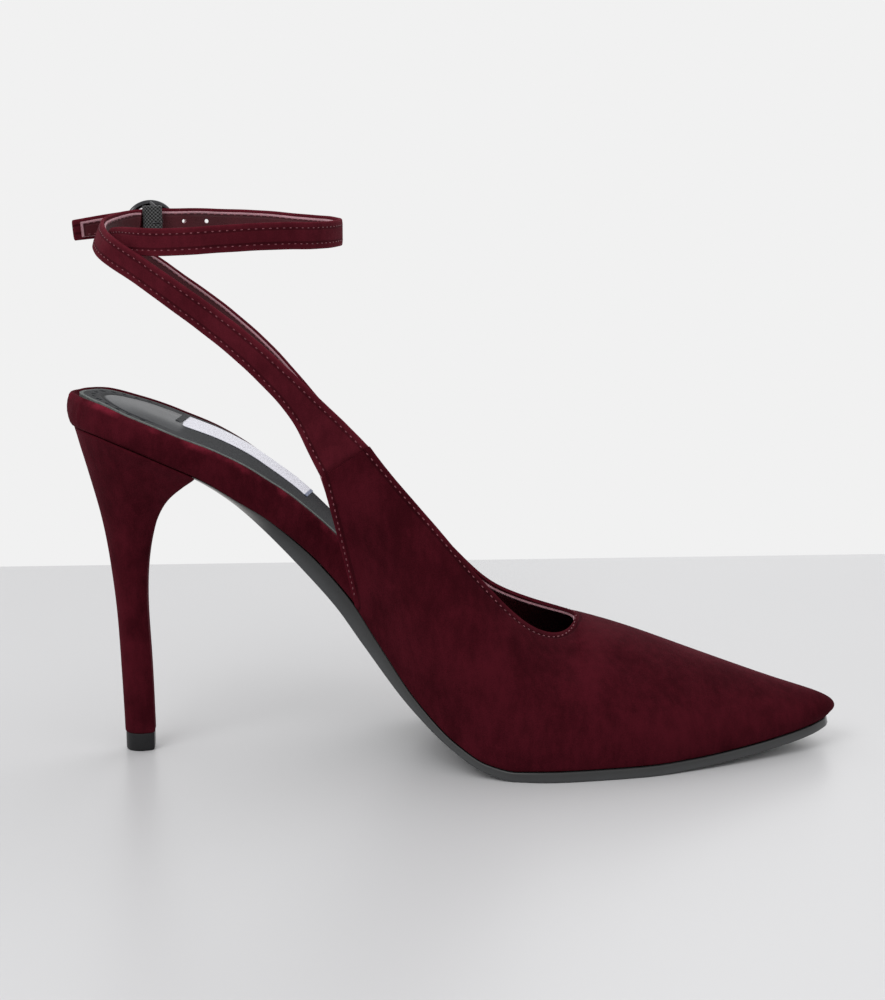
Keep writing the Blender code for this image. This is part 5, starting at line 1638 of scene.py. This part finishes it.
def sock_leather():
    """Charcoal sock leather: glossier on the pad with a painted highlight there, painted shade in the
    perforations and along the pad's line, grey at its border.
    """
    material, tree, shader, place = finish_of("sock_leather", Coat_Roughness=0.26, Specular_IOR_Level=0.12)
    grain = use(tree, GRAIN, Vector=place, Scale=1300.0)
    pad = mark(tree, "pad")
    colour = blend(tree, SOCK_COLOUR, BORDER_COLOUR, mark(tree, "border"))
    # painted highlight: the pad mark makes the colour up to twice as pale; it also lowers roughness and adds
    # a coat
    shade = times(tree, by_noise(tree, grain["Tone"], 0.85, 1.18), by_mark(tree, pad, 1.0, 2.0))
    # painted shade: the hole mark darkens the perforations and the pad's pressed line
    shade = times(tree, shade, by_mark(tree, mark(tree, "hole"), 1.0, 0.08))
    feed(tree, shader.inputs, Base_Color=dyed(tree, colour, shade), Roughness=by_mark(tree, pad, 0.62, 0.42),
         Coat_Weight=by_mark(tree, pad, 0.0, 0.30))
    bump(tree, shader, grain["Height"], 0.35, 0.06)
    return material


def sock_edge():
    """Grey cut edge of the sock."""
    return speckled("sock_edge", SOCK_EDGE_COLOUR, (700.0, 3.0), (0.7, 1.25), (0.45, 0.62), (0.4, 0.1),
                    Specular_IOR_Level=0.4)


def label_cloth():
    """White satin label, finely woven and blank, with a blue-grey fold at its front end."""
    material, tree, shader, place = finish_of("label_cloth", Sheen_Weight=0.2, Sheen_Roughness=0.3)
    along = mark(tree, "along")
    weave = use(tree, WEAVE, Along=along, Across=mark(tree, "across"), Pitch=0.42, Wale=0.30)
    tone = noise(tree, place, 120.0, 2.0)
    crease = LABEL_SPAN[1] - LABEL_FOLD
    colour = blend(tree, LABEL_COLOUR, FOLD_COLOUR, remap(tree, along, crease - 0.15, crease, 0.0, 1.0))
    shade = times(tree, by_mark(tree, weave["Height"], 0.95, 1.0), by_noise(tree, tone, 0.97, 1.0))
    feed(tree, shader.inputs, Base_Color=dyed(tree, colour, shade), Roughness=by_noise(tree, tone, 0.5, 0.62))
    bump(tree, shader, weave["Height"], 0.3, 0.04)
    return material


def sole_leather():
    """Black sole leather, waxed to a low gloss, with painted shade at the top of its edge under the rim and a
    painted reflection of the floor, paler, towards its lower edge and underside.
    """
    material, tree, shader, place = finish_of("sole_leather", Coat_Roughness=0.35, Specular_IOR_Level=0.5)
    grain = use(tree, GRAIN, Vector=place, Scale=800.0)
    colour = blend(tree, SOLE_COLOUR, RAW_COLOUR, times(tree, mark(tree, "raw"), 0.75))
    # painted shade and reflection: by height share, 1.6 times paler low down and on the underside, half as
    # bright under the rim
    shade = times(tree, by_noise(tree, grain["Tone"], 0.75, 1.3),
                  remap(tree, mark(tree, "share"), 0.1, 0.9, 1.6, 0.5))
    feed(tree, shader.inputs, Base_Color=dyed(tree, colour, shade),
         Roughness=by_noise(tree, grain["Tone"], 0.34, 0.50),
         Coat_Weight=by_noise(tree, grain["Tone"], 0.30, 0.15))
    bump(tree, shader, grain["Height"], 0.3, 0.06)
    return material


def rubber():
    """Hard black rubber with a moulded speckle."""
    return speckled("rubber", RUBBER_COLOUR, (3000.0, 2.0), (0.7, 1.4), (0.36, 0.50), (0.25, 0.05),
                    Specular_IOR_Level=0.28)


def gunmetal():
    """Polished dark plating with faint handling marks."""
    return speckled("gunmetal", METAL_COLOUR, (420.0, 4.0), (0.8, 1.15), (0.08, 0.18), (0.05, 0.1),
                    Metallic=1.0)


def elastic_knit():
    """Black elastic: grey thread tops over dark gaps."""
    material, tree, shader, _ = finish_of("elastic_knit", Specular_IOR_Level=0.25)
    weave = use(tree, WEAVE, Along=mark(tree, "along"), Across=mark(tree, "across"), Pitch=1.1, Wale=1.1)
    colour = dyed(tree, KNIT_COLOUR, remap(tree, weave["Height"], 0.1, 0.9, 0.12, 1.6))
    feed(tree, shader.inputs, Base_Color=colour, Roughness=by_mark(tree, weave["Height"], 0.75, 0.5))
    bump(tree, shader, weave["Height"], 0.9, 0.25)
    return material


def thread():
    """Rose-wine sewing thread with a twist."""
    return speckled("thread", THREAD_COLOUR, (2600.0, 2.0), (0.6, 1.3), (0.4, 0.6), (0.5, 0.08),
                    Sheen_Weight=0.1, Specular_IOR_Level=0.2)


def floor_finish():
    """Pale satin floor."""
    return speckled("floor_finish", FLOOR_COLOUR, (3.0, 2.0), (0.98, 1.02), (0.30, 0.36),
                    Specular_IOR_Level=0.35)


# Stage

PHOTO_WIDTH = 885.0      # pixels of the image's width
VIEW_FOCUS = 2164.5      # focal length in those pixels
VIEW_PLACE = (70.3, -648.0, 206.0)     # the photograph's point of view, millimetres
VIEW_AIM = (112.0, 0.0, 77.0)
SENSOR = 36.0
CLIP_START = 0.01        # metres
FLOOR_REACH = 3000.0     # how far the floor goes forwards and to the sides, millimetres
FLOOR_BACK = 258.0       # back edge of the floor, millimetres behind the middle
SURROUNDINGS = (0.97, 0.97, 0.97, 1.0)
SURROUNDINGS_STRENGTH = 0.907

# Soft boxes: name, place, aim, width in millimetres, power in watts
SOFT_BOXES = (
    ("key", (-260.0, -420.0, 620.0), (90.0, 0.0, 60.0), 420.0, 2.0),
    ("back", (380.0, 420.0, 420.0), (110.0, 0.0, 70.0), 500.0, 0.8),
)


def look_at(item, point, aim):
    """Put a camera or light at a point in the maker's millimetres, turned to its aim."""
    item.location = ((np.array(point) + SHIFT) * MM).tolist()
    ahead = np.array(aim) - np.array(point)
    item.rotation_euler = Vector(ahead).to_track_quat("-Z", "Y").to_euler()


def camera():
    """Camera at the photograph's point of view, turned to hold the whole shoe."""
    lens = bpy.data.cameras.new("camera")
    lens.sensor_fit = "HORIZONTAL"
    lens.sensor_width = SENSOR
    lens.lens = VIEW_FOCUS * SENSOR / PHOTO_WIDTH
    lens.clip_start = CLIP_START
    item = linked("camera", lens)
    look_at(item, VIEW_PLACE, VIEW_AIM)
    bpy.context.scene.camera = item


def soft_box(name, point, aim, size, power):
    """Square soft box."""
    light = bpy.data.lights.new(name, "AREA")
    light.shape = "SQUARE"
    light.size = size * MM
    light.energy = power
    look_at(linked(name, light), point, aim)


def floor():
    """Pale floor under the shoe, open to the surroundings at the back."""
    sides = (-FLOOR_REACH, FLOOR_REACH)
    corners = [(x, y, 0.0) for y in (-FLOOR_REACH, FLOOR_BACK) for x in sides]
    mesh = bpy.data.meshes.new("floor")
    mesh.from_pydata(np.array(corners) * MM, [], [(0, 1, 3, 2)])
    mesh.materials.append(floor_finish())
    linked("floor", mesh)


def surroundings():
    """Even pale surroundings, shown as plain colours."""
    world = bpy.data.worlds.new("studio")
    bpy.context.scene.world = world
    world.use_nodes = True
    backdrop = world.node_tree.nodes["Background"]
    backdrop.inputs["Color"].default_value = SURROUNDINGS
    backdrop.inputs["Strength"].default_value = SURROUNDINGS_STRENGTH
    bpy.context.scene.view_settings.view_transform = "Standard"


def stage():
    """Floor, surroundings, soft boxes and camera."""
    floor()
    surroundings()
    for row in SOFT_BOXES:
        soft_box(*row)
    camera()


# The pieces, each with its finish and the solid that it stands for

def build_upper(lining, sewing):
    """Upper with its lining and stitches."""
    steps, grids, normals = upper_grids()
    inset = edge_inset(steps, grids)
    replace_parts(upper_piece(suede("upper_suede"), steps, grids, normals, inset), "upper")
    lining_piece(lining, steps, grids, normals, inset)
    upper_stitches(sewing, steps, grids, normals)


def build_bottom():
    """Sole, rim, sock with its label, and heel."""
    sock = sock_leather()
    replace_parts(sole_piece(sole_leather()), "outsole")
    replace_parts(rim_piece(suede("rim_suede", patch_scale=58.0)), "footbed")
    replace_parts(sock_piece([sock, sock_edge()]), "insole")
    label_piece(label_cloth())
    tab_piece(sock)
    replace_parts(heel_piece(suede("heel_suede", patch_scale=52.0)), "heel")
    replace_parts(tip_piece(rubber()), "heel_tip")


def build_straps(lining, sewing):
    """Both straps with their linings and stitches, and the holes of the outer one."""
    # straps in a paler copy of the suede: painted light
    face = suede("strap_suede", STRAP_PAINTED_LIGHT_COLOUR, 60.0, 0.24)
    inner, outer = strap_line(inner_table()), strap_line(outer_table())
    medial, _ = strap_pieces("strap_medial", inner, face, lining, SEAM_INSET)
    lateral, lateral_lining = strap_pieces("strap_lateral", outer, face, lining, TIP_INSET)
    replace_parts(medial, "strap_medial")
    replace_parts(lateral, "strap_lateral")
    strap_holes(outer, (lateral, lateral_lining), lining[1])
    strap_stitches("strap_medial_stitches", inner, sewing)
    strap_stitches("strap_lateral_stitches", outer, sewing)


def build_buckle():
    """Buckle and the knitted tab that holds it."""
    metal = gunmetal()
    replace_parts(frame_piece(metal), "buckle_frame")
    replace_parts(prong_piece(metal), "buckle_prong")
    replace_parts(elastic_piece(elastic_knit()), "buckle_elastic")


lining_and_edge, sewing_thread = [lining_leather(), cut_edge()], thread()
build_upper(lining_and_edge, sewing_thread)
build_bottom()
build_straps(lining_and_edge, sewing_thread)
build_buckle()
stage()
